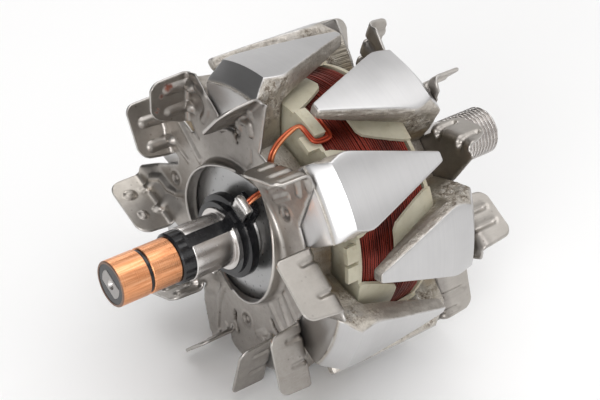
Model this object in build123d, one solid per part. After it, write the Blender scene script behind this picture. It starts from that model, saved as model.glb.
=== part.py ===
from build123d import *
import math
import os

# Claw-pole generator rotor. Millimetres. The shaft lies along +Y: the slip rings are at
# -Y, the threaded drive end is at +Y. The origin is on the shaft axis at the middle of
# the overall length.
#
# Everything is drawn first on an upright axis. A place on the rotor is given as
# (x, r, phi): x along the shaft from a station in the pole body, r from the axis and
# phi in degrees from the middle of the uppermost claw, growing clockwise as seen from
# the slip rings.

# ---- driving dimensions -------------------------------------------------------------
MID = 2.95              # station x = -MID is the middle of the overall length
TOP_TURN = -95.68       # turn that brings the first claw to the top

R_ROTOR = 53.0          # turned outside radius of the claws
POLE_MID = -4.2         # station of the middle of the pole body
POLE_HALF = 26.8        # half length over the two pole end faces
ARM_THICK = 10.8        # axial thickness of the six arms of each pole half
CHAMFER = 5.6           # 45 degree turned chamfer at the outer ends of the claws
CLAW_REACH = 15.3       # claw tip beyond the pole middle
CLAW_WIDE_AT = 15.75    # widest place of a claw, back from the pole middle
CLAW_W_WIDE = 12.3      # half width there
CLAW_W_TIP = 1.85       # half width of the tip
CLAW_TIP_R_IN = 49.2    # underside radius at the tip
CLAW_ROOT_R_IN = 43.3   # underside radius at the root
R_VALLEY = 31.0         # bottom of the valleys between the arms
R_CORE = 27.0           # half core carried by each pole half
R_BORE = 10.1           # bore of the pole halves

R_SEAT = 8.5            # bearing seats, both ends
X_SLIP_END = -78.5      # outer end of the slip rings
X_DRIVE_END = 72.6      # end of the thread
R_THREAD = 8.35         # thread crest radius
THREAD_FROM = 54.6
THREAD_PITCH = 1.5
R_SLIP = 7.26           # slip ring tracks
R_SLIP_IN = 6.4         # slip ring bore
SLIP_SPLIT = (-68.5, -67.4)
X_SLIP_IN = -57.7       # inner end of the second slip ring
X_MOULD = -53.3         # end of the black barrel behind the rings
R_TAIL = 4.6            # steel shaft tail inside the rings
TAIL_FLAT = 2.7         # flats on the tail that make room for the conductors
PHI_ARM = 36.0          # direction of the first conductor arm; the second is opposite
ARM_W = 4.25            # width of a conductor arm in its groove
R_COLLAR = 13.6         # black collar in front of the pole face

SHEET = 1.0             # fan sheet
BEND = 1.5              # inside radius where a blade is folded up
R_FAN_HOLE = 22.0
R_FAN_HUB = 34.0
FAN_LIP = 5.2           # highest part of the rim round the fan hole

R_COIL_IN = 28.9
R_COIL = 40.8
COIL_X = (-17.0, 10.4)
FLANGE = 1.3            # bobbin flange
R_FLANGE = 41.0
PETAL_T = 1.0           # bobbin petals lie on the winding under the claws
PETAL_REACH = 14.8

R_LEAD = 0.95           # the two winding leads, a doubled wire each

X_FACE_A = POLE_MID - POLE_HALF     # pole end face, slip ring side
X_FACE_B = POLE_MID + POLE_HALF     # pole end face, drive side


# ---- helpers ------------------------------------------------------------------------
def xy(r, phi):
    a = math.radians(phi)
    return (r * math.cos(a), r * math.sin(a))


def at(x, r, phi):
    u, v = xy(r, phi)
    return Vector(u, v, x + MID)


def turned(points):
    """Body of revolution from (x, r) corners."""
    pts = [(r, 0, x + MID) for x, r in points]
    return revolve(make_face(Polyline(*pts, close=True)), Axis.Z, 360)


def ring(x0, x1, r0, r1):
    return turned([(x0, r0), (x0, r1), (x1, r1), (x1, r0)])


def spin(shape, phi):
    return Rot(0, 0, phi) * shape


def flat(points, x0, x1):
    """Prism across the axis from plan corners given as (r, phi)."""
    pts = [(*xy(r, p), x0 + MID) for r, p in points]
    return extrude(make_face(Polyline(*pts, close=True)), amount=x1 - x0, dir=(0, 0, 1))


def block(x0, x1, r0, r1, w, phi=0.0):
    """Bar of width w lying radially at angle phi."""
    b = Pos((r0 + r1) / 2, 0, (x0 + x1) / 2 + MID) * Box(r1 - r0, w, x1 - x0)
    return spin(b, phi)


def one(shape):
    """The single solid of a finished node."""
    s = shape.solids()
    if len(s) == 1:
        return s[0]
    return max(s, key=lambda k: k.volume)


def rod(points, radius, bend):
    path = FilletPolyline(*points, radius=bend)
    return sweep(Plane(origin=path @ 0, z_dir=path % 0) * Circle(radius), path=path)


# ---- pole halves --------------------------------------------------------------------
def pole_half():
    """Slip ring side half: hub disc, six arms with their claws, half of the core."""
    face = X_FACE_A
    inner = face + ARM_THICK
    tip = POLE_MID + CLAW_REACH
    wide = POLE_MID - CLAW_WIDE_AT
    profile = turned([
        (face, R_BORE + 2), (face, R_ROTOR - CHAMFER), (face + CHAMFER, R_ROTOR),
        (tip, R_ROTOR), (tip, CLAW_TIP_R_IN), (inner + 1.2, CLAW_ROOT_R_IN),
        (inner, CLAW_ROOT_R_IN - 1.1), (inner, R_BORE + 2)])

    def section(r, w_end, w_wide, w_tip):
        o = face - 0.5
        pts = [(r, -w_end, o), (r, -w_wide, wide), (r, -w_tip, tip - 0.9),
               (r, -w_tip * 0.5, tip), (r, w_tip * 0.5, tip), (r, w_tip, tip - 0.9),
               (r, w_wide, wide), (r, w_end, o)]
        return make_face(Polyline(*[(a, b, c + MID) for a, b, c in pts], close=True))

    sections = [section(14.0, 7.4, 7.2, 0.6), section(36.0, 11.4, 9.6, 0.9),
                section(44.0, 12.0, 10.6, 1.1), section(47.6, 12.15, 11.9, 1.7),
                section(50.4, 9.9, CLAW_W_WIDE, CLAW_W_TIP), section(54.0, 6.7, CLAW_W_WIDE - 0.1, CLAW_W_TIP)]
    claw = None
    for lo, hi in zip(sections, sections[1:]):
        piece = loft([lo, hi], ruled=True)
        claw = piece if claw is None else claw + piece
    claw = claw & profile
    body = ring(face, inner, R_BORE, R_VALLEY) + ring(inner, POLE_MID, R_BORE, R_CORE)
    for k in range(6):
        body = body + spin(claw, 60 * k)
    return body


half = pole_half()
grooves = None
for k in (0, 180):
    g = flat([(16.5, 31.1 + k), (35.5, 27.7 + k), (35.5, 32.05 + k), (16.5, 40.5 + k)], X_FACE_A - 0.1, X_FACE_A + 2.3)
    grooves = g if grooves is None else grooves + g
pole_a = one(half - grooves)
pole_b = one(spin(half.mirror(Plane(origin=(0, 0, POLE_MID + MID), z_dir=(0, 0, 1))), 30))

# ---- shaft --------------------------------------------------------------------------
shaft = turned([
    (X_SLIP_END, 0), (X_SLIP_END, R_TAIL), (X_MOULD, R_TAIL), (X_MOULD, R_SEAT - 0.35),
    (X_MOULD + 0.35, R_SEAT), (-39.4, R_SEAT), (-39.4, R_BORE - 0.3), (-39.1, R_BORE),
    (38.0, R_BORE), (38.4, R_BORE - 0.4), (38.4, R_SEAT), (53.2, R_SEAT), (53.4, R_SEAT - 0.3),
    (53.4, R_THREAD - 1.1), (THREAD_FROM, R_THREAD - 1.1), (THREAD_FROM + 0.9, R_THREAD),
    (X_DRIVE_END - 1.35, R_THREAD), (X_DRIVE_END, R_THREAD - 1.35), (X_DRIVE_END, 0)])
for k in (0, 180):
    # flats on the tail, then the grooves that carry the conductor arms through the seat
    shaft = shaft - block(X_SLIP_END - 1, X_MOULD + 0.01, TAIL_FLAT, 12, 12, PHI_ARM + k)
    shaft = shaft - block(X_MOULD - 0.01, -33.0, 4.4, 12, ARM_W, PHI_ARM + k)
shaft = shaft - turned([(X_SLIP_END - 0.01, 0), (X_SLIP_END - 0.01, 1.7), (X_SLIP_END + 2.2, 0.45), (X_SLIP_END + 4.6, 0.45), (X_SLIP_END + 4.9, 0)])
shaft = shaft - turned([(X_DRIVE_END + 0.01, 0), (X_DRIVE_END + 0.01, 2.6), (X_DRIVE_END - 3.6, 0.7), (X_DRIVE_END - 6.5, 0.7), (X_DRIVE_END - 7.0, 0)])
shaft = one(shaft)

# ---- conductors: a flat copper bar per ring, ending in the clip that grips the lead ---
CLIP_X = -36.4


def conductor(x_tab0, x_tab1, phi):
    b = block(x_tab0, CLIP_X + 0.4, 4.9, 5.9, 2.0)
    b = b + block(x_tab0, x_tab1, 4.9, R_SLIP_IN - 0.09, 2.0)
    b = b + block(CLIP_X - 0.4, CLIP_X + 0.4, 4.9, 15.0, 2.0)
    return spin(b, phi)


def clip_body(phi):
    c = block(CLIP_X - 1.75, CLIP_X + 1.75, 13.9, 18.6, 6.4)
    notch = block(CLIP_X - 1.2, CLIP_X + 1.2, 15.0, 20.0, 2 * R_LEAD + 2.2)
    return spin(c - notch, phi)


cond_a = one(conductor(-74.5, -72.0, PHI_ARM) + clip_body(PHI_ARM))
cond_b = one(conductor(-64.0, -61.5, PHI_ARM + 180) + clip_body(PHI_ARM + 180))

# ---- slip rings ---------------------------------------------------------------------
def slip_ring(x0, x1):
    return turned([(x0, R_SLIP_IN), (x0, R_SLIP - 0.25), (x0 + 0.25, R_SLIP), (x1 - 0.25, R_SLIP),
                   (x1, R_SLIP - 0.25), (x1, R_SLIP_IN)])


ring_outer = one(slip_ring(X_SLIP_END, SLIP_SPLIT[0]))
ring_inner = one(slip_ring(SLIP_SPLIT[1], X_SLIP_IN))

# ---- black moulding: barrel under the rings, two arms, collar and terminal blocks -----
mould = turned([
    (X_SLIP_END + 0.15, 0), (X_SLIP_END + 0.15, R_SLIP_IN), (SLIP_SPLIT[0], R_SLIP_IN), (SLIP_SPLIT[0], R_SLIP - 0.45),
    (SLIP_SPLIT[1], R_SLIP - 0.45), (SLIP_SPLIT[1], R_SLIP_IN), (X_SLIP_IN, R_SLIP_IN),
    (X_SLIP_IN, 7.7), (X_SLIP_IN + 0.5, 8.2), (X_MOULD, 8.2), (X_MOULD, 0)])
collar = turned([(-38.9, 10.2), (-38.9, 11.9), (-37.4, 11.9), (-36.9, R_COLLAR), (-34.2, R_COLLAR),
                 (-33.6, 12.9), (-33.6, 10.2)])
mould = mould + collar
for k in (0, 180):
    arm = block(X_MOULD - 1, -36.0, 4.42, 8.2, ARM_W - 0.04, PHI_ARM + k)
    arm = arm + block(-39.3, -34.0, 4.42, 12.6, ARM_W - 0.04, PHI_ARM + k)
    arm = arm + block(-37.6, -34.0, 11.0, 14.4, 8.4, PHI_ARM + k)
    arm = arm + block(-34.4, -33.2, 11.0, 17.6, 8.4, PHI_ARM + k)
    mould = mould + arm
mould = mould - shaft - cond_a - cond_b
mould = one(mould)

# ---- winding, bobbin ----------------------------------------------------------------
coil = one(turned([(COIL_X[0] + 0.1, R_COIL_IN), (COIL_X[0] + 0.1, R_COIL - 0.4), (COIL_X[0] + 0.5, R_COIL),
                   (COIL_X[1] - 0.5, R_COIL), (COIL_X[1] - 0.1, R_COIL - 0.4), (COIL_X[1] - 0.1, R_COIL_IN)]))

bobbin = turned([
    (COIL_X[0] - FLANGE, R_CORE + 0.2), (COIL_X[0] - FLANGE, R_FLANGE), (COIL_X[0], R_FLANGE),
    (COIL_X[0], R_COIL_IN - 0.05), (COIL_X[1], R_COIL_IN - 0.05), (COIL_X[1], R_FLANGE),
    (COIL_X[1] + FLANGE, R_FLANGE), (COIL_X[1] + FLANGE, R_CORE + 0.2)])


def petal(x_root, sense):
    """One bobbin petal: its outline laid on the winding, tapering away from the flange."""
    shape = [(-FLANGE, 19.5), (1.0, 19.0), (5.0, 16.6), (10.0, 13.2), (13.6, 10.4), (PETAL_REACH, 7.6)]
    left = [(x_root + sense * s, -w) for s, w in shape]
    right = [(x_root + sense * s, w) for s, w in reversed(shape)]
    pts = [(R_COIL + 3.0, (R_COIL + 0.5) * math.sin(math.radians(w)), x + MID) for x, w in left + right]
    prism = extrude(make_face(Polyline(*pts, close=True)), amount=9.0, dir=(-1, 0, 0))
    return prism


shell = ring(COIL_X[0] - FLANGE, COIL_X[1] + FLANGE, R_COIL + 0.05, R_COIL + 0.05 + PETAL_T)
for k in range(6):
    bobbin = bobbin + (spin(petal(COIL_X[0], 1), 60 * k) & shell)
    bobbin = bobbin + (spin(petal(COIL_X[1], -1), 60 * k + 30) & shell)
# castellated lips of the slip ring side flange in the six valleys, and the two hooks
lip_ring = ring(COIL_X[0] - 5.4, COIL_X[0] - 0.2, R_FLANGE - 1.6, R_FLANGE)
for k in range(6):
    for d in (-4.6, 4.6):
        lug = block(COIL_X[0] - 5.2, COIL_X[0] - 0.2, R_FLANGE - 3, R_FLANGE + 2, 5.4, 60 * k + 30 + d)
        lug = lug & lip_ring
        if k in (0, 3) and d < 0:
            continue
        bobbin = bobbin + lug
for k in (0, 180):
    post = ring(-18.7, -14.6, R_COIL + 0.05, 43.2) & flat(
        [(20, 20.0 + k), (60, 20.0 + k), (60, 34.0 + k), (20, 34.0 + k)], -18.7, -14.6)
    bobbin = bobbin + post
bobbin = one(bobbin)

# ---- winding leads ------------------------------------------------------------------
def lead(k):
    pts = [at(-13.4, 42.25, 24.0 + k), at(-13.4, 42.25, 35.9 + k), at(-19.8, 42.25, 35.9 + k),
           at(-19.8, 42.25, 24.6 + k), at(-29.9, 34.6, 30.0 + k), at(-29.9, 19.9, 33.9 + k),
           at(CLIP_X, 19.9, 35.4 + k), at(CLIP_X, 15.3, PHI_ARM + k)]
    return rod(pts, R_LEAD, 2.0)


lead_a = one(lead(0))
lead_b = one(lead(180))

# ---- fans ---------------------------------------------------------------------------
# Each blade: fold line from (r, phi) to (r, phi), height of the blade over the pole
# face, the outer end of the flap behind the fold, how far the flap is pressed up, and
# how much the free edge is shorter at the inner and outer end.
FAN_A = [
    # fold inner      fold outer      height  flap outer      apex after      lift  e_in  e_out
    ((37.8, -36.8), (51.4, -23.4), 12.5, (51.4, -19.0), (36.5, -8.1), 0.0, 4.5, 0.6),
    ((35.6, 1.5), (51.6, 18.6), 12.5, (51.8, 22.0), (36.0, 24.4), 0.0, 1.0, 3.6),
    ((36.0, 33.5), (50.2, 49.8), 12.5, (50.4, 52.5), (32.0, 69.5), 0.0, 0.6, 1.2),
    ((36.4, 77.0), (50.6, 97.6), 13.6, (51.6, 101.5), (33.5, 118.0), 0.0, 0.8, 1.6),
    ((34.4, 126.6), (51.9, 142.2), 12.5, (51.8, 146.5), (34.6, 155.5), 0.0, 0.8, 0.6),
    ((35.1, 157.6), (51.4, 173.2), 12.5, (48.4, 184.0), (46.6, 193.6), 0.0, 0.8, 0.8),
    ((39.8, 191.5), (52.6, 203.6), 12.5, (52.5, 205.6), (41.3, 217.0), 0.0, 0.4, 1.0),
    ((36.4, 217.0), (52.4, 231.5), 14.0, (52.2, 236.0), (34.0, 250.5), 1.6, 1.0, 1.0),
    ((35.2, 254.5), (52.6, 272.2), 15.2, (51.8, 277.0), (32.4, 292.5), 3.0, 0.8, 0.8),
    ((37.0, 294.2), (52.6, 309.2), 12.5, (52.3, 313.5), (33.0, 321.5), 0.0, 1.5, 0.4),
]
FAN_B = [
    ((37.9, -41.5), (52.4, -29.5), 12.5, (52.5, -17.5), (38.4, -13.0), 0.0, 0.8, 1.0),
    ((37.3, -11.3), (52.5, 0.6), 9.0, (52.0, 4.2), (38.0, 21.0), 0.0, 0.8, 0.8),
    ((38.8, 28.3), (52.4, 35.4), 12.5, (52.0, 39.0), (37.0, 44.0), 0.0, 0.8, 0.8),
    ((38.0, 47.6), (51.8, 60.6), 11.0, (52.0, 64.4), (38.0, 75.0), 0.0, 0.6, 3.4),
    ((37.0, 84.6), (51.6, 98.4), 12.8, (51.4, 103.0), (35.0, 120.0), 0.0, 0.8, 0.8),
    ((37.4, 129.6), (52.4, 142.4), 12.5, (52.0, 147.0), (34.0, 160.0), 0.0, 0.8, 0.8),
    ((37.0, 165.0), (52.2, 178.0), 12.5, (52.0, 183.0), (35.0, 196.0), 0.0, 0.8, 0.8),
    ((37.0, 204.0), (52.2, 217.0), 12.5, (52.0, 222.0), (35.0, 236.0), 0.0, 0.8, 0.8),
    ((37.0, 243.0), (52.2, 256.0), 12.5, (52.0, 261.0), (35.0, 274.0), 0.0, 0.8, 0.8),
    ((37.0, 281.0), (52.2, 294.0), 12.5, (52.0, 299.0), (35.0, 311.0), 0.0, 0.8, 0.8),
]


def fan(table, lip_phi):
    """Fan lying against z = 0, blades rising towards +z. phi is counted as on the rotor."""
    plate = extrude(Circle(R_FAN_HUB), amount=SHEET)
    blades = []
    for fi, fo, h, flap, apex, lift, e_in, e_out in table:
        a, b = Vector(*xy(*fi)), Vector(*xy(*fo))
        d = (b - a).normalized()
        n = Vector(-d.Y, d.X)
        length = (b - a).length
        start = 9.0 if lift else BEND
        # flat part of the flap
        pts = [a + n * start * 0.999, b + n * start * 0.999, Vector(*xy(*flap)), Vector(*xy(*apex)), Vector(*xy(R_FAN_HUB - 3, apex[1])),
               Vector(*xy(R_FAN_HUB - 6, (apex[1] + fi[1]) / 2)), Vector(*xy(R_FAN_HUB - 3, fi[1]))]
        if lift:
            pts = [a + n * start * 0.999, Vector(*xy(apex[0], apex[1])), Vector(*xy(R_FAN_HUB - 3, apex[1])),
                   Vector(*xy(R_FAN_HUB - 6, (apex[1] + fi[1]) / 2)), Vector(*xy(R_FAN_HUB - 3, fi[1]))]
        flap_face = make_face(Polyline(*[(p.X, p.Y) for p in pts], close=True))
        plate = plate + extrude(flap_face, amount=SHEET)
        # folded part: sheet profile across the fold, swept along it
        frame = Plane(origin=(a.X, a.Y, 0), x_dir=(n.X, n.Y, 0), z_dir=(d.X, d.Y, 0))
        if lift:
            prof = [(start + 0.8, 0), (start, 0), (BEND, lift), (-SHEET, lift), (-SHEET, h), (0, h),
                    (0, lift + SHEET), (BEND, lift + SHEET), (start, SHEET), (start + 0.8, SHEET)]
        else:
            prof = [(BEND + 0.8, 0), (-SHEET, 0), (-SHEET, h), (0, h), (0, SHEET), (BEND + 0.8, SHEET)]
        face = make_face(Polyline(*prof, close=True))
        vo = min(face.vertices(), key=lambda v: abs(v.X + SHEET) + abs(v.Y - lift))
        face = fillet([vo], BEND + SHEET) if not lift else fillet([vo], BEND + SHEET - 0.1)
        vi = min(face.vertices(), key=lambda v: abs(v.X) + abs(v.Y - lift - SHEET))
        face = fillet([vi], BEND if not lift else BEND - 0.1)
        bent = extrude(frame * face, amount=length)
        # outline of the blade seen square on, with its rounded free corners
        side = Plane(origin=(a.X - n.X * 3, a.Y - n.Y * 3, 0), x_dir=(d.X, d.Y, 0), z_dir=(n.X, n.Y, 0))
        out = make_face(Polyline((0, -1), (length, -1), (length, lift + 2.5), (length - e_out, h),
                                 (e_in, h), (0, lift + 2.5), close=True))
        s = side.y_dir.Z
        if s < 0:
            out = mirror(out, about=Plane.XZ)
        top = sorted(out.vertices(), key=lambda v: -abs(v.Y))[:2]
        out = fillet(top, 3.0)
        prism = extrude(side * out, amount=60)
        bent = bent & prism
        if lift:
            # the pressed-up flap is trimmed to its plan outline
            plan = [a - n * 3, b - n * 3, b, Vector(*xy(*flap)), Vector(*xy(apex[0] + 0.5, apex[1])), a + n * (start + 2)]
            bent = bent & extrude(make_face(Polyline(*[(p.X, p.Y) for p in plan], close=True)), amount=30)
        blades.append(bent)
    body = plate
    for b in blades:
        body = body + b
    # rim round the hole, highest across lip_phi, flush where the leads pass
    rim = extrude(Circle(R_FAN_HOLE + SHEET), amount=FAN_LIP + SHEET)
    u, v = xy(1.0, lip_phi)
    across = Plane(origin=(-u * 40, -v * 40, 0), x_dir=(-v, u, 0), z_dir=(u, v, 0))
    roof = make_face(Polyline((-26, 0), (26, 0), (26, FAN_LIP + SHEET + 0.9), (0, SHEET + 0.15), (-26, FAN_LIP + SHEET + 0.9), close=True))
    if across.y_dir.Z < 0:
        roof = mirror(roof, about=Plane.XZ)
    rim = rim & extrude(across * roof, amount=80)
    body = body + rim
    body = body - Pos(0, 0, -1) * extrude(Circle(R_FAN_HOLE), amount=30)
    return body


def unfold(table, f):
    """The same table for a fan seen from its own outer side."""
    out = []
    for fi, fo, h, flap, apex, lift, e_in, e_out in table:
        out.append(((fi[0], f(fi[1])), (fo[0], f(fo[1])), h, (flap[0], f(flap[1])), (apex[0], f(apex[1])), lift, e_in, e_out))
    return out


# the drive side fan rises towards +x directly
fan_b = one(Pos(0, 0, X_FACE_B + MID) * fan(FAN_B, 33.6))
# the slip ring side fan rises towards -x: it is drawn rising to +x and reflected across
# the pole face, so the drawn hand and the real hand agree
raised = fan(FAN_A, 33.6)
fan_a = one(Pos(0, 0, X_FACE_A + MID) * raised.mirror(Plane.XY))

# ---- place on the row frame and write -----------------------------------------------
place = Rot(-90, 0, 0) * Rot(0, 0, TOP_TURN)
NODES = {
    "shaft": shaft,
    "pole_half_slip_ring_side": pole_a,
    "pole_half_drive_side": pole_b,
    "fan_slip_ring_side": fan_a,
    "fan_drive_side": fan_b,
    "bobbin": bobbin,
    "field_winding": coil,
    "winding_lead_start": lead_a,
    "winding_lead_finish": lead_b,
    "slip_ring_outer": ring_outer,
    "slip_ring_inner": ring_inner,
    "slip_ring_moulding": mould,
    "conductor_bar_outer_ring": cond_a,
    "conductor_bar_inner_ring": cond_b,
}
os.makedirs("parts", exist_ok=True)
for name, solid in NODES.items():
    s = place * solid
    s.label = name
    export_step(s, "parts/" + name + ".step")
    bb = s.bounding_box()
    print(name, "solids", len(s.solids()), "valid", s.is_valid, "volume", round(s.volume, 1),
          "box", [round(q, 2) for q in (bb.min.X, bb.min.Y, bb.min.Z, bb.max.X, bb.max.Y, bb.max.Z)])
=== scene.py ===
import bpy
import math
import numpy as np
from mathutils import Vector, Matrix
from mathutils.geometry import delaunay_2d_cdt


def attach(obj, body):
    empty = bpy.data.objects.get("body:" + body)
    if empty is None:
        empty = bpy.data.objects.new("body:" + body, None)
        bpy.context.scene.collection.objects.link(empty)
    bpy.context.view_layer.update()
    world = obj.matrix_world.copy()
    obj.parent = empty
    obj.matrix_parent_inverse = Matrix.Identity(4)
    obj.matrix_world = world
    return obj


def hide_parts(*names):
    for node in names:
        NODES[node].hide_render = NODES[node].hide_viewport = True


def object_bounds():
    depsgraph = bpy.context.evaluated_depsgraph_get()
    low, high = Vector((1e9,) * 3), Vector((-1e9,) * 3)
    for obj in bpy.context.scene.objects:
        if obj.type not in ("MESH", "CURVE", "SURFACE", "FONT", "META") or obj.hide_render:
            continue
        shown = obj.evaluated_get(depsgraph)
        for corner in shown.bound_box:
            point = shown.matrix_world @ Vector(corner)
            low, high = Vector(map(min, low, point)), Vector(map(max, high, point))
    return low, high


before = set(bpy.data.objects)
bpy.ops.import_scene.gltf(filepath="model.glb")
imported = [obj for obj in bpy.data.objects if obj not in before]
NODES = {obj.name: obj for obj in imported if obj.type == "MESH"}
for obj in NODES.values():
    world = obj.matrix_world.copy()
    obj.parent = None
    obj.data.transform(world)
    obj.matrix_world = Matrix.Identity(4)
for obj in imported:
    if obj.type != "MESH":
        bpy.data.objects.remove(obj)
CAD_BOX = [list(v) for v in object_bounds()]

# Claw-pole generator rotor. Places are (x, r, phi): x along the shaft in mm, r from the
# axis, phi in degrees from the middle of the uppermost claw, clockwise from the slip rings.
MID = 2.95
TOP = 95.68
X_A, X_B = -31.0, 22.6          # pole end faces
POLE_MID = -4.2
SHEET = 1.0
BEND = 1.5
R_HOLE = 22.0
R_HUB = 34.0


# ---------------------------------------------------------------- helpers
def row(x, r, phi):
    t = np.radians(TOP - np.asarray(phi, float))
    x, r = np.asarray(x, float), np.asarray(r, float)
    x, r, t = np.broadcast_arrays(x, r, t)
    return np.stack([r * np.cos(t), x + MID, r * np.sin(t)], -1)


def polar(co):
    """(x, r, phi) of row-frame points in mm."""
    co = np.asarray(co, float)
    x = co[:, 1] - MID
    r = np.hypot(co[:, 0], co[:, 2])
    phi = (TOP - np.degrees(np.arctan2(co[:, 2], co[:, 0])) + 180) % 360 - 180
    return x, r, phi


def smooth(a, b, t):
    s = np.clip((np.asarray(t, float) - a) / (b - a), 0, 1)
    return s * s * (3 - 2 * s)


def hash3(i, j, k, seed):
    n = (i * 374761393 + j * 668265263 + k * 2147483647 + seed * 1274126177) & 0xFFFFFFFF
    n = ((n ^ (n >> 13)) * 1274126177) & 0xFFFFFFFF
    n = ((n ^ (n >> 16)) * 2246822519) & 0xFFFFFFFF
    return ((n ^ (n >> 15)) & 0xFFFFFF) / float(0xFFFFFF)


def vnoise(p, scale, seed=1):
    """Smooth value noise in -1..1; scale is the size of one lump in mm."""
    q = np.asarray(p, float) / scale
    f = np.floor(q).astype(np.int64)
    w = q - f
    w = w * w * (3 - 2 * w)
    out = np.zeros(len(q))
    for a in (0, 1):
        for b in (0, 1):
            for c in (0, 1):
                h = hash3(f[:, 0] + a, f[:, 1] + b, f[:, 2] + c, seed)
                out += h * (w[:, 0] if a else 1 - w[:, 0]) * (w[:, 1] if b else 1 - w[:, 1]) * (w[:, 2] if c else 1 - w[:, 2])
    return out * 2 - 1


def fnoise(p, scale, octaves=3, seed=1):
    out, amp, tot = 0, 1.0, 0.0
    for o in range(octaves):
        out = out + amp * vnoise(p, scale / 2 ** o, seed + 17 * o)
        tot += amp
        amp *= 0.5
    return out / tot


def mesh_object(name, co, faces):
    me = bpy.data.meshes.new(name)
    me.from_pydata([tuple(c) for c in (np.asarray(co, float) / 1000.0)], [], [tuple(int(i) for i in f) for f in faces])
    me.validate()
    me.update()
    ob = bpy.data.objects.new(name, me)
    bpy.context.scene.collection.objects.link(ob)
    return ob


def outward(ob):
    import bmesh
    bm = bmesh.new()
    bm.from_mesh(ob.data)
    bmesh.ops.remove_doubles(bm, verts=bm.verts, dist=2e-6)
    bmesh.ops.recalc_face_normals(bm, faces=bm.faces)
    bm.to_mesh(ob.data)
    bm.free()
    ob.data.update()
    return ob


def shade(ob, angle=35):
    me = ob.data
    me.shade_smooth()
    me.set_sharp_from_angle(angle=math.radians(angle))
    return ob


def done(ob, material, replaces=(), angle=35):
    shade(ob, angle)
    ob.data.materials.clear()
    ob.data.materials.append(material)
    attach(ob, "root")
    if replaces:
        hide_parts(*replaces)
    return ob


def coords(ob):
    me = ob.data
    co = np.zeros(len(me.vertices) * 3)
    me.vertices.foreach_get("co", co)
    return co.reshape(-1, 3) * 1000.0


def normals(ob):
    me = ob.data
    me.update()
    no = np.zeros(len(me.vertices) * 3)
    me.vertices.foreach_get("normal", no)
    return no.reshape(-1, 3)


def set_coords(ob, co):
    ob.data.vertices.foreach_set("co", (np.asarray(co, float) / 1000.0).ravel())
    ob.data.update()


def attribute(ob, name, values):
    a = ob.data.attributes.get(name) or ob.data.attributes.new(name, "FLOAT", "POINT")
    a.data.foreach_set("value", np.asarray(values, np.float32))


def apply_modifiers(ob):
    dg = bpy.context.evaluated_depsgraph_get()
    me = bpy.data.meshes.new_from_object(ob.evaluated_get(dg))
    old = ob.data
    ob.modifiers.clear()
    ob.data = me
    bpy.data.meshes.remove(old)
    return ob


def boolean(ob, other, operation):
    m = ob.modifiers.new("b", "BOOLEAN")
    m.operation = operation
    m.object = other
    m.solver = "MANIFOLD"
    bpy.context.view_layer.update()
    apply_modifiers(ob)
    bpy.data.objects.remove(other)
    return ob


def grid_faces(rows, cols, wrap=False, base=0):
    out = []
    for i in range(rows - 1):
        for j in range(cols if wrap else cols - 1):
            k = (j + 1) % cols
            out.append((base + i * cols + j, base + i * cols + k, base + (i + 1) * cols + k, base + (i + 1) * cols + j))
    return out


def revolve(profile, n, closed=False, wobble=None):
    """Turned body round the shaft from (x, r) points; ends on the axis are closed."""
    prof = np.asarray(profile, float)
    phi = np.arange(n) * 360.0 / n
    co, faces = [], []
    for i, (x, r) in enumerate(prof):
        rr = np.full(n, r) if wobble is None else wobble(x, r, phi)
        co.append(row(x, rr, phi))
    co = np.concatenate(co)
    faces = grid_faces(len(prof), n, wrap=True)
    if closed:
        last = (len(prof) - 1) * n
        for j in range(n):
            k = (j + 1) % n
            faces.append((last + j, last + k, k, j))
    else:
        a = len(co)
        co = np.concatenate([co, row(prof[0, 0], 0, 0)[None], row(prof[-1, 0], 0, 0)[None]])
        last = (len(prof) - 1) * n
        for j in range(n):
            k = (j + 1) % n
            faces.append((a, k, j))
            faces.append((a + 1, last + j, last + k))
    return co, faces


def rounded(points, radius, steps=3, closed=False):
    """(x, r) corner list with every corner rounded; radius may be a list."""
    pts = [np.array(p, float) for p in points]
    n = len(pts)
    out = []
    for i, p in enumerate(pts):
        rad = radius[i] if hasattr(radius, "__len__") else radius
        if (not closed and i in (0, n - 1)) or rad <= 0:
            out.append(p)
            continue
        a, b = pts[i - 1] - p, pts[(i + 1) % n] - p
        la, lb = np.linalg.norm(a), np.linalg.norm(b)
        q = min(rad, 0.45 * la, 0.45 * lb)
        a, b = a / la * q, b / lb * q
        for s in range(steps + 1):
            t = s / steps
            out.append(p + a * (1 - t) ** 2 + b * t ** 2)
    return out


def densify(points, step):
    out = [np.array(points[0], float)]
    for p in points[1:]:
        p = np.array(p, float)
        d = np.linalg.norm(p - out[-1])
        k = max(1, int(math.ceil(d / step)))
        a = out[-1]
        for i in range(1, k + 1):
            out.append(a + (p - a) * i / k)
    return out


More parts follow.
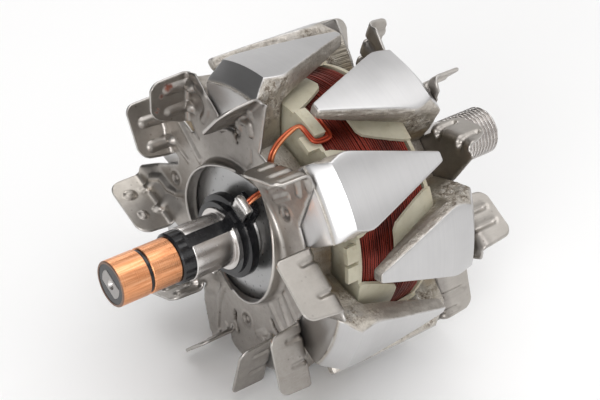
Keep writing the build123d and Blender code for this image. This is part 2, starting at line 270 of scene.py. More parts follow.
# ---------------------------------------------------------------- materials
class Mat:
    """Small builder for a node material."""

    def __init__(self, name):
        self.m = bpy.data.materials.new(name)
        self.m.use_nodes = True
        self.t = self.m.node_tree
        self.t.nodes.clear()
        self.out = self.n("ShaderNodeOutputMaterial")
        self.b = self.n("ShaderNodeBsdfPrincipled")
        self.l(self.b.outputs[0], self.out.inputs[0])
        self.co = self.n("ShaderNodeTexCoord").outputs["Object"]

    def n(self, kind, **props):
        node = self.t.nodes.new(kind)
        for k, v in props.items():
            setattr(node, k, v)
        return node

    def l(self, a, b):
        self.t.links.new(a, b)

    def put(self, sock, v):
        if isinstance(v, bpy.types.NodeSocket):
            self.l(v, sock)
        elif isinstance(v, (tuple, list)):
            sock.default_value = tuple(v) + ((1.0,) if len(v) == 3 and sock.type == "RGBA" else ())
        else:
            sock.default_value = v

    def scaled(self, s=(1, 1, 1), rot=(0, 0, 0)):
        mp = self.n("ShaderNodeMapping")
        self.l(self.co, mp.inputs["Vector"])
        mp.inputs["Scale"].default_value = s
        mp.inputs["Rotation"].default_value = rot
        return mp.outputs[0]

    def noise(self, scale, detail=4, rough=0.55, vec=None, dist=0.0):
        """scale is lumps per metre."""
        nd = self.n("ShaderNodeTexNoise")
        self.l(vec or self.co, nd.inputs["Vector"])
        nd.inputs["Scale"].default_value = scale
        nd.inputs["Detail"].default_value = detail
        nd.inputs["Roughness"].default_value = rough
        nd.inputs["Distortion"].default_value = dist
        return nd.outputs["Fac"]

    def voronoi(self, scale, vec=None):
        nd = self.n("ShaderNodeTexVoronoi")
        self.l(vec or self.co, nd.inputs["Vector"])
        nd.inputs["Scale"].default_value = scale
        return nd.outputs["Distance"]

    def attr(self, name):
        return self.n("ShaderNodeAttribute", attribute_name=name).outputs["Fac"]

    def ramp(self, fac, stops):
        nd = self.n("ShaderNodeValToRGB")
        self.l(fac, nd.inputs[0])
        el = nd.color_ramp.elements
        while len(el) < len(stops):
            el.new(0.5)
        for e, (p, c) in zip(el, stops):
            e.position = p
            e.color = tuple(c) + (1.0,) if hasattr(c, "__len__") else (c, c, c, 1.0)
        return nd.outputs[0]

    def mix(self, fac, a, b, blend="MIX"):
        nd = self.n("ShaderNodeMix", data_type="RGBA", blend_type=blend)
        self.put(nd.inputs[0], fac)
        self.put(nd.inputs[6], a)
        self.put(nd.inputs[7], b)
        return nd.outputs[2]

    def math(self, op, a, b=0.0, c=0.0):
        nd = self.n("ShaderNodeMath", operation=op)
        for s, v in zip(nd.inputs, (a, b, c)):
            self.put(s, v)
        return nd.outputs[0]

    def map(self, v, a, b, c, d):
        nd = self.n("ShaderNodeMapRange")
        self.put(nd.inputs[0], v)
        for i, q in enumerate((a, b, c, d)):
            nd.inputs[i + 1].default_value = q
        return nd.outputs[0]

    def bump(self, height, strength, dist, normal=None):
        nd = self.n("ShaderNodeBump")
        nd.inputs["Strength"].default_value = strength
        nd.inputs["Distance"].default_value = dist
        self.l(height, nd.inputs["Height"])
        if normal is not None:
            self.l(normal, nd.inputs["Normal"])
        return nd.outputs[0]

    def set(self, **kw):
        names = {"color": "Base Color", "metal": "Metallic", "rough": "Roughness", "normal": "Normal",
                 "coat": "Coat Weight", "coat_rough": "Coat Roughness", "ior": "IOR", "aniso": "Anisotropic",
                 "sub": "Subsurface Weight", "spec": "Specular IOR Level"}
        for k, v in kw.items():
            self.put(self.b.inputs[names[k]], v)
        return self.m


def radius_x(m):
    """Sockets for the distance from the axis in mm and the place along the shaft in mm."""
    sep = m.n("ShaderNodeSeparateXYZ")
    m.l(m.co, sep.inputs[0])
    r2 = m.math("ADD", m.math("MULTIPLY", sep.outputs[0], sep.outputs[0]), m.math("MULTIPLY", sep.outputs[2], sep.outputs[2]))
    r = m.math("MULTIPLY", m.math("SQRT", r2), 1000.0)
    x = m.math("MULTIPLY_ADD", sep.outputs[1], 1000.0, -MID)
    return r, x


def turning_lines(m, r, x, pitch_r, pitch_x):
    """Fine lathe lines: rings on faces and circles along turned outsides."""
    cmb = m.n("ShaderNodeCombineXYZ")
    m.l(m.math("MULTIPLY", r, pitch_r), cmb.inputs[0])
    m.l(m.math("MULTIPLY", x, pitch_x), cmb.inputs[1])
    nd = m.n("ShaderNodeTexNoise")
    m.l(cmb.outputs[0], nd.inputs["Vector"])
    nd.inputs["Scale"].default_value = 1.0
    nd.inputs["Detail"].default_value = 3
    return nd.outputs["Fac"]


def pole_material():
    m = Mat("pole_steel")
    mach, crust, resin, edge = m.attr("mach"), m.attr("crust"), m.attr("resin"), m.attr("edge")
    r, x = radius_x(m)
    lines = turning_lines(m, r, x, 3.2, 3.2)
    big, fine = m.noise(38, 4), m.noise(900, 5, 0.6)
    grain = m.noise(2600, 3, 0.6)
    # turned faces: pale satin grey with faint lines and soft clouding
    turned = m.ramp(big, [(0.3, (0.53, 0.525, 0.525)), (0.7, (0.62, 0.615, 0.615))])
    turned = m.mix(m.map(lines, 0.40, 0.75, 0.0, 0.16), turned, (0.40, 0.40, 0.41), "MIX")
    # forged sides: brown-grey scale, darker pits
    forged = m.ramp(m.noise(230, 6, 0.65), [(0.28, (0.235, 0.208, 0.180)), (0.5, (0.400, 0.368, 0.330)), (0.72, (0.56, 0.53, 0.49))])
    forged = m.mix(m.map(grain, 0.35, 0.75, 0.0, 0.55), forged, (0.56, 0.53, 0.50), "MIX")
    forged = m.mix(m.map(m.noise(1500, 4, 0.7), 0.58, 0.70, 0.0, 0.75), forged, (0.075, 0.06, 0.05), "MIX")
    wall = m.attr("wall")
    forged = m.mix(m.math("MULTIPLY", wall, 0.8), forged, (0.60, 0.555, 0.475))
    forged = m.mix(m.math("MULTIPLY", m.attr("pale"), 0.75), forged, (0.74, 0.70, 0.65))
    # painted shade: darker forged colour low on the drive side claw flanks, where the undercut lies in shadow
    forged = m.mix(m.attr("painted_undercut_shade"), forged, (0.215, 0.190, 0.140))
    crusty = m.ramp(m.noise(560, 6, 0.8), [(0.34, (0.08, 0.060, 0.045)), (0.45, (0.27, 0.225, 0.175)), (0.54, (0.60, 0.55, 0.48)), (0.66, (0.88, 0.86, 0.82))])
    resiny = m.ramp(m.noise(420, 4), [(0.3, (0.14, 0.08, 0.035)), (0.7, (0.42, 0.32, 0.19))])
    col = m.mix(mach, forged, turned)
    col = m.mix(m.math("MULTIPLY", resin, 0.75), col, resiny)
    col = m.mix(m.math("MULTIPLY", crust, m.map(m.noise(300, 4), 0.36, 0.50, 0.0, 1.0)), col, crusty)
    # painted shade: dark brown over the outer end face beside the claws at phi 120 and, weaker, phi 2, standing in for
    # contact shadow and dark reflection
    col = m.mix(m.math("MULTIPLY", m.attr("painted_face_shade"), m.map(m.noise(60, 4), 0.35, 0.65, 0.62, 0.88)), col, (0.15, 0.125, 0.10))
    col = m.mix(m.math("MULTIPLY", edge, 0.6), col, (0.74, 0.73, 0.72))
    specks = m.attr("specks")
    col = m.mix(m.math("MULTIPLY", specks, m.math("MULTIPLY", m.map(m.voronoi(620), 0.16, 0.30, 1.0, 0.0), m.map(m.noise(150, 3), 0.46, 0.54, 0.0, 1.0))), col, (0.03, 0.03, 0.03))
    col = m.mix(m.math("MULTIPLY", specks, 0.56), col, (0.20, 0.21, 0.21))
    rough = m.mix(mach, m.map(fine, 0.3, 0.7, 0.40, 0.62), m.map(big, 0.3, 0.7, 0.27, 0.36))
    rough = m.mix(m.math("MULTIPLY", crust, 0.8), rough, m.map(fine, 0.3, 0.7, 0.12, 0.45))
    metal = m.mix(m.math("MAXIMUM", crust, resin), (0.95, 0.95, 0.95), (0.45, 0.45, 0.45))
    ribbed = m.n("ShaderNodeTexNoise")
    cmb = m.n("ShaderNodeCombineXYZ")
    m.l(m.math("MULTIPLY", x, 1.35), cmb.inputs[0])
    m.l(m.math("MULTIPLY", r, 0.12), cmb.inputs[1])
    m.l(cmb.outputs[0], ribbed.inputs["Vector"])
    ribbed.inputs["Scale"].default_value = 1.0
    ribbed.inputs["Detail"].default_value = 1
    rough_h = m.mix(0.35, m.mix(0.5, m.noise(700, 6, 0.7), m.noise(2400, 3)), ribbed.outputs["Fac"])
    along = m.n("ShaderNodeTexNoise")
    cmb2 = m.n("ShaderNodeCombineXYZ")
    m.l(m.math("MULTIPLY", r, 2.3), cmb2.inputs[0])
    m.l(m.math("MULTIPLY", x, 0.06), cmb2.inputs[1])
    m.l(cmb2.outputs[0], along.inputs["Vector"])
    along.inputs["Scale"].default_value = 1.0
    along.inputs["Detail"].default_value = 1
    rough_h = m.mix(m.math("MULTIPLY", wall, 0.75), rough_h, along.outputs["Fac"])
    nrm = m.bump(rough_h, 0.75, 0.00050)
    nrm = m.bump(m.math("MULTIPLY", crust, m.noise(1100, 5, 0.8)), 1.0, 0.0007, nrm)
    nrm2 = m.bump(lines, 0.035, 0.00008)
    mixn = m.n("ShaderNodeMix", data_type="VECTOR")
    m.l(mach, mixn.inputs[0]); m.l(nrm, mixn.inputs[4]); m.l(nrm2, mixn.inputs[5])
    return m.set(color=col, metal=metal, rough=rough, normal=mixn.outputs[1])


def fan_material():
    m = Mat("fan_sheet")
    rust, edge, tan = m.attr("rust"), m.attr("edge"), m.attr("tan")
    base = m.ramp(m.noise(70, 5, 0.6), [(0.3, (0.295, 0.272, 0.250)), (0.7, (0.415, 0.390, 0.365))])
    base = m.mix(m.map(m.noise(520, 5, 0.7), 0.46, 0.74, 0.0, 0.30), base, (0.20, 0.175, 0.15))
    scr = m.noise(420, 5, 0.7, vec=m.scaled((7, 0.7, 7), (0.4, 0.2, 0.6)))
    base = m.mix(m.map(scr, 0.55, 0.75, 0.0, 0.30), base, (0.56, 0.54, 0.52))
    # painted warm highlight on the blade at the left
    base = m.mix(m.math("MULTIPLY", tan, 0.35), base, (0.66, 0.61, 0.53))
    spots = m.map(m.voronoi(300), 0.05, 0.14, 1.0, 0.0)
    base = m.mix(m.math("MULTIPLY", spots, 0.45), base, (0.07, 0.055, 0.045))
    base = m.mix(m.math("MULTIPLY", edge, 0.40), base, (0.72, 0.71, 0.69))
    # painted light: the standing blades are lighter than the plate, most on the slip ring side blades between phi 35
    # and 118
    base = m.mix(m.math("MULTIPLY", m.attr("fold"), 0.34), base, (0.66, 0.625, 0.575))
    # painted shade: darker flat plate of the slip ring side fan around the top claw
    base = m.mix(m.math("MULTIPLY", m.attr("painted_plate_shade"), 0.60), base, (0.155, 0.142, 0.130))
    base = m.mix(m.attr("weld"), base, (0.070, 0.058, 0.048))
    # painted shade: near black down inside the pressed relief slits
    base = m.mix(m.attr("slit"), base, (0.035, 0.028, 0.022))
    rmask = m.math("MULTIPLY", rust, m.map(m.noise(420, 4, 0.6), 0.40, 0.50, 0.0, 1.0))
    base = m.mix(rmask, base, m.ramp(m.noise(900, 4), [(0.3, (0.085, 0.020, 0.010)), (0.7, (0.19, 0.050, 0.024))]))
    rough = m.map(m.noise(260, 5, 0.7), 0.3, 0.75, 0.30, 0.44)
    rough = m.mix(rmask, rough, (0.75, 0.75, 0.75))
    metal = m.mix(rmask, (1, 1, 1), (0.2, 0.2, 0.2))
    h = m.mix(0.5, m.noise(330, 5, 0.65), scr)
    return m.set(color=base, metal=metal, rough=rough, normal=m.bump(h, 0.10, 0.0003))


def shaft_material():
    m = Mat("shaft_steel")
    r, x = radius_x(m)
    lines = turning_lines(m, r, x, 2.4, 3.2)
    col = m.ramp(m.noise(90, 4), [(0.3, (0.58, 0.55, 0.53)), (0.7, (0.70, 0.675, 0.655))])
    col = m.mix(m.map(lines, 0.42, 0.72, 0.0, 0.06), col, (0.40, 0.38, 0.37))
    col = m.mix(m.map(m.noise(900, 4, 0.7), 0.62, 0.76, 0.0, 0.5), col, (0.25, 0.23, 0.21))
    rough = m.map(m.noise(160, 3), 0.3, 0.7, 0.22, 0.29)
    face = m.map(x, -78.3, -78.0, 1.0, 0.0)
    col = m.mix(m.math("MULTIPLY", face, 0.6), col, (0.26, 0.25, 0.245))
    rough = m.mix(face, rough, (0.5, 0.5, 0.5))
    return m.set(color=col, metal=1.0, rough=rough, normal=m.bump(lines, 0.004, 0.00005))


def copper_material():
    m = Mat("slip_copper")
    r, x = radius_x(m)
    sep = m.n("ShaderNodeSeparateXYZ")
    m.l(m.co, sep.inputs[0])
    ang = m.math("ARCTAN2", sep.outputs[0], sep.outputs[2])
    cmb = m.n("ShaderNodeCombineXYZ")
    m.l(m.math("MULTIPLY", ang, 14.0), cmb.inputs[0])
    m.l(m.math("MULTIPLY", x, 0.09), cmb.inputs[1])
    st = m.n("ShaderNodeTexNoise")
    m.l(cmb.outputs[0], st.inputs["Vector"])
    st.inputs["Scale"].default_value = 1.0
    st.inputs["Detail"].default_value = 5
    col = m.ramp(st.outputs["Fac"], [(0.3, (0.64, 0.255, 0.11)), (0.5, (0.82, 0.37, 0.18)), (0.7, (0.93, 0.50, 0.28))])
    col = m.mix(m.map(m.noise(1500, 4, 0.7), 0.58, 0.78, 0.0, 0.25), col, (0.42, 0.15, 0.07))
    lines = turning_lines(m, r, x, 2.0, 4.0)
    rough = m.map(lines, 0.3, 0.7, 0.24, 0.38)
    # the end face isn't swept by the brushes, so it has gone dark
    end = m.map(x, -78.40, -78.08, 0.88, 0.0)
    col = m.mix(end, col, (0.105, 0.078, 0.066))
    return m.set(color=col, metal=m.math("SUBTRACT", 1.0, m.math("MULTIPLY", end, 0.5)), rough=rough, normal=m.bump(m.mix(0.5, lines, m.noise(900, 3)), 0.10, 0.00015))


def enamel_material(name, dark, light, dark_at=0.46, clean=0.0):
    m = Mat(name)
    turn, dirt = m.attr("turn"), m.attr("dirt")
    # painted shade: turn runs from the dark colour, painted in the grooves between wires and where a lead lies in
    # shadow, to the light colour on the crowns
    col = m.ramp(turn, [(0.0, dark), (dark_at, tuple(0.5 * (a + b) for a, b in zip(dark, light))), (1.0, light)])
    col = m.mix(m.map(m.noise(150, 3, 0.5), 0.42, 0.62, 0.0, 0.45 * (0.6 - clean)), col, dark)
    col = m.mix(m.math("MULTIPLY", dirt, 0.8), col, tuple(0.35 * q for q in dark))
    return m.set(color=col, metal=m.map(m.noise(500, 3), 0.3, 0.7, 0.60, 0.80), rough=m.map(m.noise(700, 3), 0.3, 0.7, 0.26, 0.40),
                 normal=m.bump(m.noise(1600, 3), 0.06, 0.0001), coat=0.12, coat_rough=0.2)


def bobbin_material():
    m = Mat("bobbin_nylon")
    col = m.ramp(m.noise(90, 5, 0.6), [(0.3, (0.440, 0.395, 0.290)), (0.7, (0.620, 0.575, 0.450))])
    col = m.mix(m.map(m.noise(380, 5, 0.7), 0.55, 0.78, 0.0, 0.55), col, (0.33, 0.25, 0.13))
    return m.set(color=col, rough=m.map(m.noise(400, 4), 0.3, 0.7, 0.35, 0.52), normal=m.bump(m.noise(1100, 4, 0.6), 0.18, 0.0002), sub=0.05)


def black_material():
    m = Mat("black_moulding")
    col = m.ramp(m.noise(300, 5, 0.65), [(0.35, (0.006, 0.006, 0.007)), (0.7, (0.018, 0.018, 0.020))])
    col = m.mix(m.map(m.noise(1300, 4, 0.7), 0.62, 0.8, 0.0, 0.5), col, (0.10, 0.09, 0.08))
    return m.set(color=col, rough=m.map(m.noise(500, 4), 0.3, 0.7, 0.11, 0.24), normal=m.bump(m.noise(700, 4, 0.6), 0.09, 0.0002))


def tinned_material():
    m = Mat("conductor_copper")
    col = m.ramp(m.noise(420, 5, 0.65), [(0.35, (0.78, 0.76, 0.74)), (0.6, (0.90, 0.89, 0.87))])
    col = m.mix(m.map(m.noise(700, 4, 0.7), 0.68, 0.84, 0.0, 0.35), col, (0.62, 0.42, 0.30))
    return m.set(color=col, metal=1.0, rough=m.map(m.noise(600, 4), 0.3, 0.7, 0.24, 0.34), normal=m.bump(m.noise(500, 4, 0.6), 0.08, 0.0002))


M_POLE, M_FAN, M_SHAFT, M_COPPER = pole_material(), fan_material(), shaft_material(), copper_material()
M_WIRE = enamel_material("winding_enamel", (0.008, 0.002, 0.002), (0.36, 0.040, 0.020), 0.55)
M_LEAD = enamel_material("lead_enamel", (0.36, 0.038, 0.013), (0.74, 0.27, 0.125), 0.35, 0.4)
M_BOBBIN, M_BLACK, M_TIN = bobbin_material(), black_material(), tinned_material()


# ---------------------------------------------------------------- pole halves
TIP = POLE_MID + 15.3
WIDE = POLE_MID - 15.75
INNER = X_A + 10.8
LEVELS = [14.0, 36.0, 44.0, 47.6, 50.4, 54.0]
W_END = [7.4, 11.4, 12.0, 12.15, 9.9, 6.7]
W_WIDE = [7.2, 9.6, 10.6, 11.9, 12.3, 12.2]
W_TIP = [0.6, 0.9, 1.1, 1.7, 1.85, 1.85]


def half_width(rho, x):
    """Half width of a claw at height rho over the axis and station x."""
    we, ww, wt = (np.interp(rho, LEVELS, q) for q in (W_END, W_WIDE, W_TIP))
    o = X_A - 0.5
    a = we + (ww - we) * (x - o) / (WIDE - o)
    b = ww + (wt - ww) * (x - WIDE) / (TIP - 0.9 - WIDE)
    # the corner at the widest place is a little rounded
    return np.where(x < WIDE, a, b) - 0.25 * np.exp(-((x - WIDE) / 1.2) ** 2)


def outer_radius(x):
    return np.minimum(53.0, 53.0 - 5.6 + (x - X_A))


def claw_mesh():
    """One arm with its claw as a closed grid, on phi = 0, slip ring side. (rho, t, x) in mm."""
    q = 0.55
    # the upper edge and the lower edge of the side wall, walked together from face to tip
    xs = np.concatenate([np.linspace(X_A, X_A + 5.6, 8), np.linspace(X_A + 5.6, INNER + 1.5, 8)[1:], np.linspace(INNER + 1.5, TIP, 52)[1:]])
    low = [(x, 24.0) for x in np.linspace(X_A, INNER - 0.8, 8)]
    low += [(INNER - 0.25, 24.2), (INNER, 24.8), (INNER, 30.0), (INNER, 36.0), (INNER, 40.6), (INNER + 0.35, 42.0), (INNER + 1.5, 43.35)]
    xl = np.linspace(INNER + 1.5, TIP, 52)[1:]
    low += [(x, 43.35 + (49.2 - 43.35) * (x - INNER - 1.5) / (TIP - INNER - 1.5)) for x in xl]
    low = np.array(low)
    assert len(low) == len(xs), (len(low), len(xs))
    n_side, n_out, n_und = 22, 17, 8
    rows = []
    for i, (x, (x_low, r_low)) in enumerate(zip(xs, low)):
        # rounding of the two ends
        inset = 0.0
        R = outer_radius(x)
        w = 12.0
        rho = 50.0
        for _ in range(12):
            w = float(half_width(rho, x))
            rho = math.sqrt(max(R * R - w * w, 1.0))
        top = np.array([rho, w])
        side = []
        for f in np.linspace(0, 1, n_side):
            g = f ** 1.15
            xx = x + (x_low - x) * g
            rr = rho + (r_low - rho) * g
            side.append((rr, float(half_width(rr, xx)), xx))
        side = np.array(side)
        # soften the edge under the outside, and the lower edge
        out = []
        for g in np.linspace(-1, 1, n_out):
            t = g * (w - q)
            out.append((math.sqrt(R * R - t * t), t, x))
        out = np.array(out)
        d = np.cumsum(np.r_[0, np.linalg.norm(np.diff(side[:, :2], axis=0), axis=1)])
        total = d[-1]
        start = q
        t_new = np.linspace(start, max(total - q, start + 0.2), n_side)
        side2 = np.stack([np.interp(t_new, d, side[:, k]) for k in range(3)], 1)
        corner = np.array([rho, w, x])
        arc = []
        A, B = out[-1], side2[0]
        for s in (0.25, 0.5, 0.75):
            arc.append(A * (1 - s) ** 2 + corner * 2 * s * (1 - s) + B * s ** 2)
        lowc = np.array([side[-1, 0], side[-1, 1], side[-1, 2]])
        uA = side2[-1]
        wl = max(lowc[1] - q, lowc[1] * 0.5)
        uB = np.array([lowc[0], wl, lowc[2]])
        arc2 = []
        for s in (0.25, 0.5, 0.75):
            arc2.append(uA * (1 - s) ** 2 + lowc * 2 * s * (1 - s) + uB * s ** 2)
        under = [(lowc[0], t, lowc[2]) for t in np.linspace(wl, -wl, n_und)]
        flip = np.array([1, -1, 1.0])
        loop = list(out) + arc + list(side2) + arc2 + under
        loop += [p * flip for p in reversed(arc2)] + [p * flip for p in reversed(side2)] + [p * flip for p in reversed(arc)]
        rows.append(np.array(loop, float))
    # rounded ends: pull the first and last loops in and add a full one close by
    def inset_loop(loop, dist, dx):
        c = loop.mean(0)
        v = loop[:, :2] - c[None, :2]
        ln = np.linalg.norm(v, axis=1)[:, None]
        new = loop.copy()
        new[:, :2] = c[None, :2] + v * (1 - dist / np.maximum(ln, dist * 1.6))
        new[:, 2] += dx
        return new
    first, last = rows[0], rows[-1]
    rows[0] = first + np.array([0, 0, 0.5])
    # keep the turned chamfer's size where the loop moved along
    rows = [inset_loop(first, 0.45, 0.0), inset_loop(first, 0.14, 0.14)] + rows + [inset_loop(last, 0.35, 0.0)]
    rows[-2] = last - np.array([0, 0, 0.35])
    rows[-1] = inset_loop(last, 0.4, 0.0)
    n = len(rows[0])
    co = np.concatenate(rows)
    faces = grid_faces(len(rows), n, wrap=True)
    faces.append(tuple(range(n)))
    faces.append(tuple(reversed(range((len(rows) - 1) * n, len(rows) * n))))
    return co, faces


def pole_half(name, flip, phi0, slot_groove):
    co, faces = claw_mesh()
    objs = []

    def place(rho, t, x, phi):
        r = np.hypot(rho, t)
        p = phi + np.degrees(np.arctan2(t, rho))
        if flip:
            x = 2 * POLE_MID - x
        return row(x, r, p)

    # hub disc with its half of the core
    prof = rounded([(X_A, 10.1), (X_A, 31.0), (INNER, 31.0), (INNER, 27.0), (POLE_MID, 27.0), (POLE_MID, 10.1)], [0.3, 0.5, 0.6, 0.6, 0.2, 0.2], 3, closed=True)
    prof = [(2 * POLE_MID - p[0], p[1]) if flip else (p[0], p[1]) for p in prof]
    hco, hf = revolve(prof, 144, closed=True)
    body = outward(mesh_object(name, hco, hf))
    arms = None
    for k in range(6):
        c = place(co[:, 0], co[:, 1], co[:, 2], phi0 + 60 * k)
        arm = outward(mesh_object(name + "_arm%d" % k, c, faces))
        body = boolean(body, arm, "UNION")
    if slot_groove:
        for k in (0, 180):
            pts = []
            for xx in (X_A - 1, X_A + 2.3):
                for rr, pp in ((16.5, 31.1), (35.5, 27.7), (35.5, 32.05), (16.5, 40.5)):
                    pts.append(row(xx, rr, pp + k))
            cut = outward(mesh_object("groove", np.array(pts), [(0, 1, 2, 3), (7, 6, 5, 4), (0, 4, 5, 1), (1, 5, 6, 2), (2, 6, 7, 3), (3, 7, 4, 0)]))
            body = boolean(body, cut, "DIFFERENCE")
    return body


def finish_pole(ob, flip, phi0):
    co = coords(ob)
    no = normals(ob)
    x, r, phi = polar(co)
    xm = 2 * POLE_MID - x if flip else x
    R = outer_radius(xm)
    face = np.abs(xm - X_A) < 0.06
    nx = -no[:, 1] if not flip else no[:, 1]
    d_out = R - r
    # machined: the turned outside, chamfer and end face
    mach = np.maximum(1 - smooth(0.04, 0.22, d_out), np.where(face & (r < 47.3), 1.0, 0.0))
    mach = np.where((r < 13) & ~face, 1.0, mach)
    forged = 1 - np.maximum(1 - smooth(0.15, 0.9, d_out), 1 - smooth(0.05, 0.6, np.abs(xm - X_A)))
    crust = forged * smooth(-0.30, 0.15, fnoise(co, 6.0, 2, 5 + flip)) * smooth(-13.0, -20.0, xm) * smooth(36, 41, r)
    band = forged * (1 - smooth(2.4, 3.6, d_out))
    if flip:
        crust = np.maximum(crust, 0.55 * band * smooth(-0.5, 0.2, fnoise(co, 2.5, 2, 61)))
    resin = forged * smooth(-0.1, 0.4, fnoise(co, 9.0, 2, 31 + flip)) * smooth(-17.5, -20.5, xm) * smooth(44, 38, r) * smooth(28, 31, r)
    lump = fnoise(co, 3.2, 3, 11 + flip) * 0.16 + fnoise(co, 1.1, 2, 23) * 0.07
    lump += crust * (0.12 + 0.42 * fnoise(co, 1.3, 3, 41))
    inside = smooth(0.0, 1.2, d_out)
    co = co + no * (lump * forged * inside)[:, None]
    # hammered, slightly uneven long edges of the turned faces
    x2, r2, phi2 = polar(co)
    R2 = outer_radius(2 * POLE_MID - x2 if flip else x2)
    over = r2 > R2 - 0.001
    scale = np.where(over, (R2 - 0.001) / np.maximum(r2, 1e-6), 1.0)
    co[:, 0] *= scale
    co[:, 2] *= scale
    lo, hi = np.array(CAD_BOX[0]) * 1000, np.array(CAD_BOX[1]) * 1000
    co = np.clip(co, lo + 0.002, hi - 0.002)
    set_coords(ob, co)
    attribute(ob, "mach", mach)
    attribute(ob, "crust", crust)
    attribute(ob, "resin", resin)
    attribute(ob, "wall", forged * smooth(-19.0, -21.5, xm) * smooth(33, 36, r) * (1 - crust))
    pale = 0.85 if flip else 0.30
    attribute(ob, "pale", np.maximum(band * pale, forged * 0.30) * smooth(38, 43, r))
    # painted shade for the undercut of the drive side claws, 3.6 to 5.6 mm and more below the outside
    attribute(ob, "painted_undercut_shade", forged * smooth(3.6, 5.6, d_out) * smooth(30, 36, r) * (0.55 if flip else 0.0))
    # painted shade: contact shadow and dark reflection painted on the outer end face of the slip ring side half,
    # strongest by the claw at phi 120
    low = (phi - 120.0 + 180.0) % 360.0 - 180.0
    top = (phi - 2.0 + 180.0) % 360.0 - 180.0
    brown = (np.exp(-(low / 26.0) ** 2) + 0.45 * np.exp(-(top / 20.0) ** 2)) * (0.0 if flip else 1.0)
    attribute(ob, "painted_face_shade", brown * (1 - smooth(0.10, 0.60, np.abs(xm - X_A))) * smooth(33.0, 37.0, r))
    attribute(ob, "specks", np.where((r < 30) & (np.abs(xm - X_A) < 0.1) & (not flip), 1.0, 0.0))
    edge = np.exp(-((d_out - 0.28) / 0.16) ** 2) * smooth(-0.3, 0.3, fnoise(co, 2.0, 2, 3))
    attribute(ob, "edge", edge)
    return ob


# ---------------------------------------------------------------- fans
class Blade:
    def __init__(self, fi, fo, h, flap, apex, lift, e_in, e_out, ribs=None, corner=(3.2, 3.2), lean=0.0, bow=0.0, bumps=()):
        self.bumps = bumps
        self.h, self.lift, self.e_in, self.e_out = h, lift, e_in, e_out
        self.a, self.b = plan(*fi), plan(*fo)
        self.d = (self.b - self.a) / np.linalg.norm(self.b - self.a)
        self.L = float(np.linalg.norm(self.b - self.a))
        n = np.array([-self.d[1], self.d[0]])
        # n points over the blade's own flap, to growing phi
        test = plan(*apex) - self.a
        self.n = n if n @ test > 0 else -n
        self.flap, self.apex = plan(*flap), plan(*apex)
        self.apex_polar, self.fi = apex, fi
        self.ribs = ribs if ribs is not None else [(0.23 * self.L, 8.4, 5.5), (0.63 * self.L, 8.4, 5.5)]
        self.corner, self.lean, self.bow = corner, lean, bow

    def uv(self, p):
        q = np.asarray(p, float) - self.a
        return q @ self.d, q @ self.n


def plan(r, phi):
    t = math.radians(TOP - phi)
    return np.array([r * math.cos(t), r * math.sin(t)])


def rib_height(blade, u, s):
    """Pressed ribs over the sheet; s runs from the bend: + up the blade, - over the flap.
    A rib is (place along the fold, end up the blade, end on the flap, half width, height, fill)."""
    out = np.zeros_like(u)
    fill = np.zeros_like(u)
    for rib in blade.ribs:
        uc, up, down = rib[:3]
        wide = rib[3] if len(rib) > 3 else 1.7
        amp = rib[4] if len(rib) > 4 else 0.95
        web = rib[5] if len(rib) > 5 else 0.9
        # rounded ends: distance from the rib's middle line
        e = np.where(s > up - wide, s - (up - wide), np.where(s < -(down - wide), -(s + (down - wide)), 0.0))
        q = ((u - uc) ** 2 + e ** 2) / wide ** 2
        dome = np.clip(1 - q, 0, 1) ** 0.75
        out = np.where(np.abs(amp * dome) > np.abs(out), amp * dome, out)
        across = np.clip(1 - ((u - uc) / wide) ** 2, 0, 1)
        fill = np.maximum(fill, web * across * np.clip(1 - np.abs(s) / 4.5, 0, 1) ** 2)
    for uc, vc, ru, rv, hgt in blade.bumps:
        q = ((u - uc) / ru) ** 2 + ((s - vc) / rv) ** 2
        out = out + hgt * np.clip(1 - q, 0, 1) ** 0.8
    return out + fill


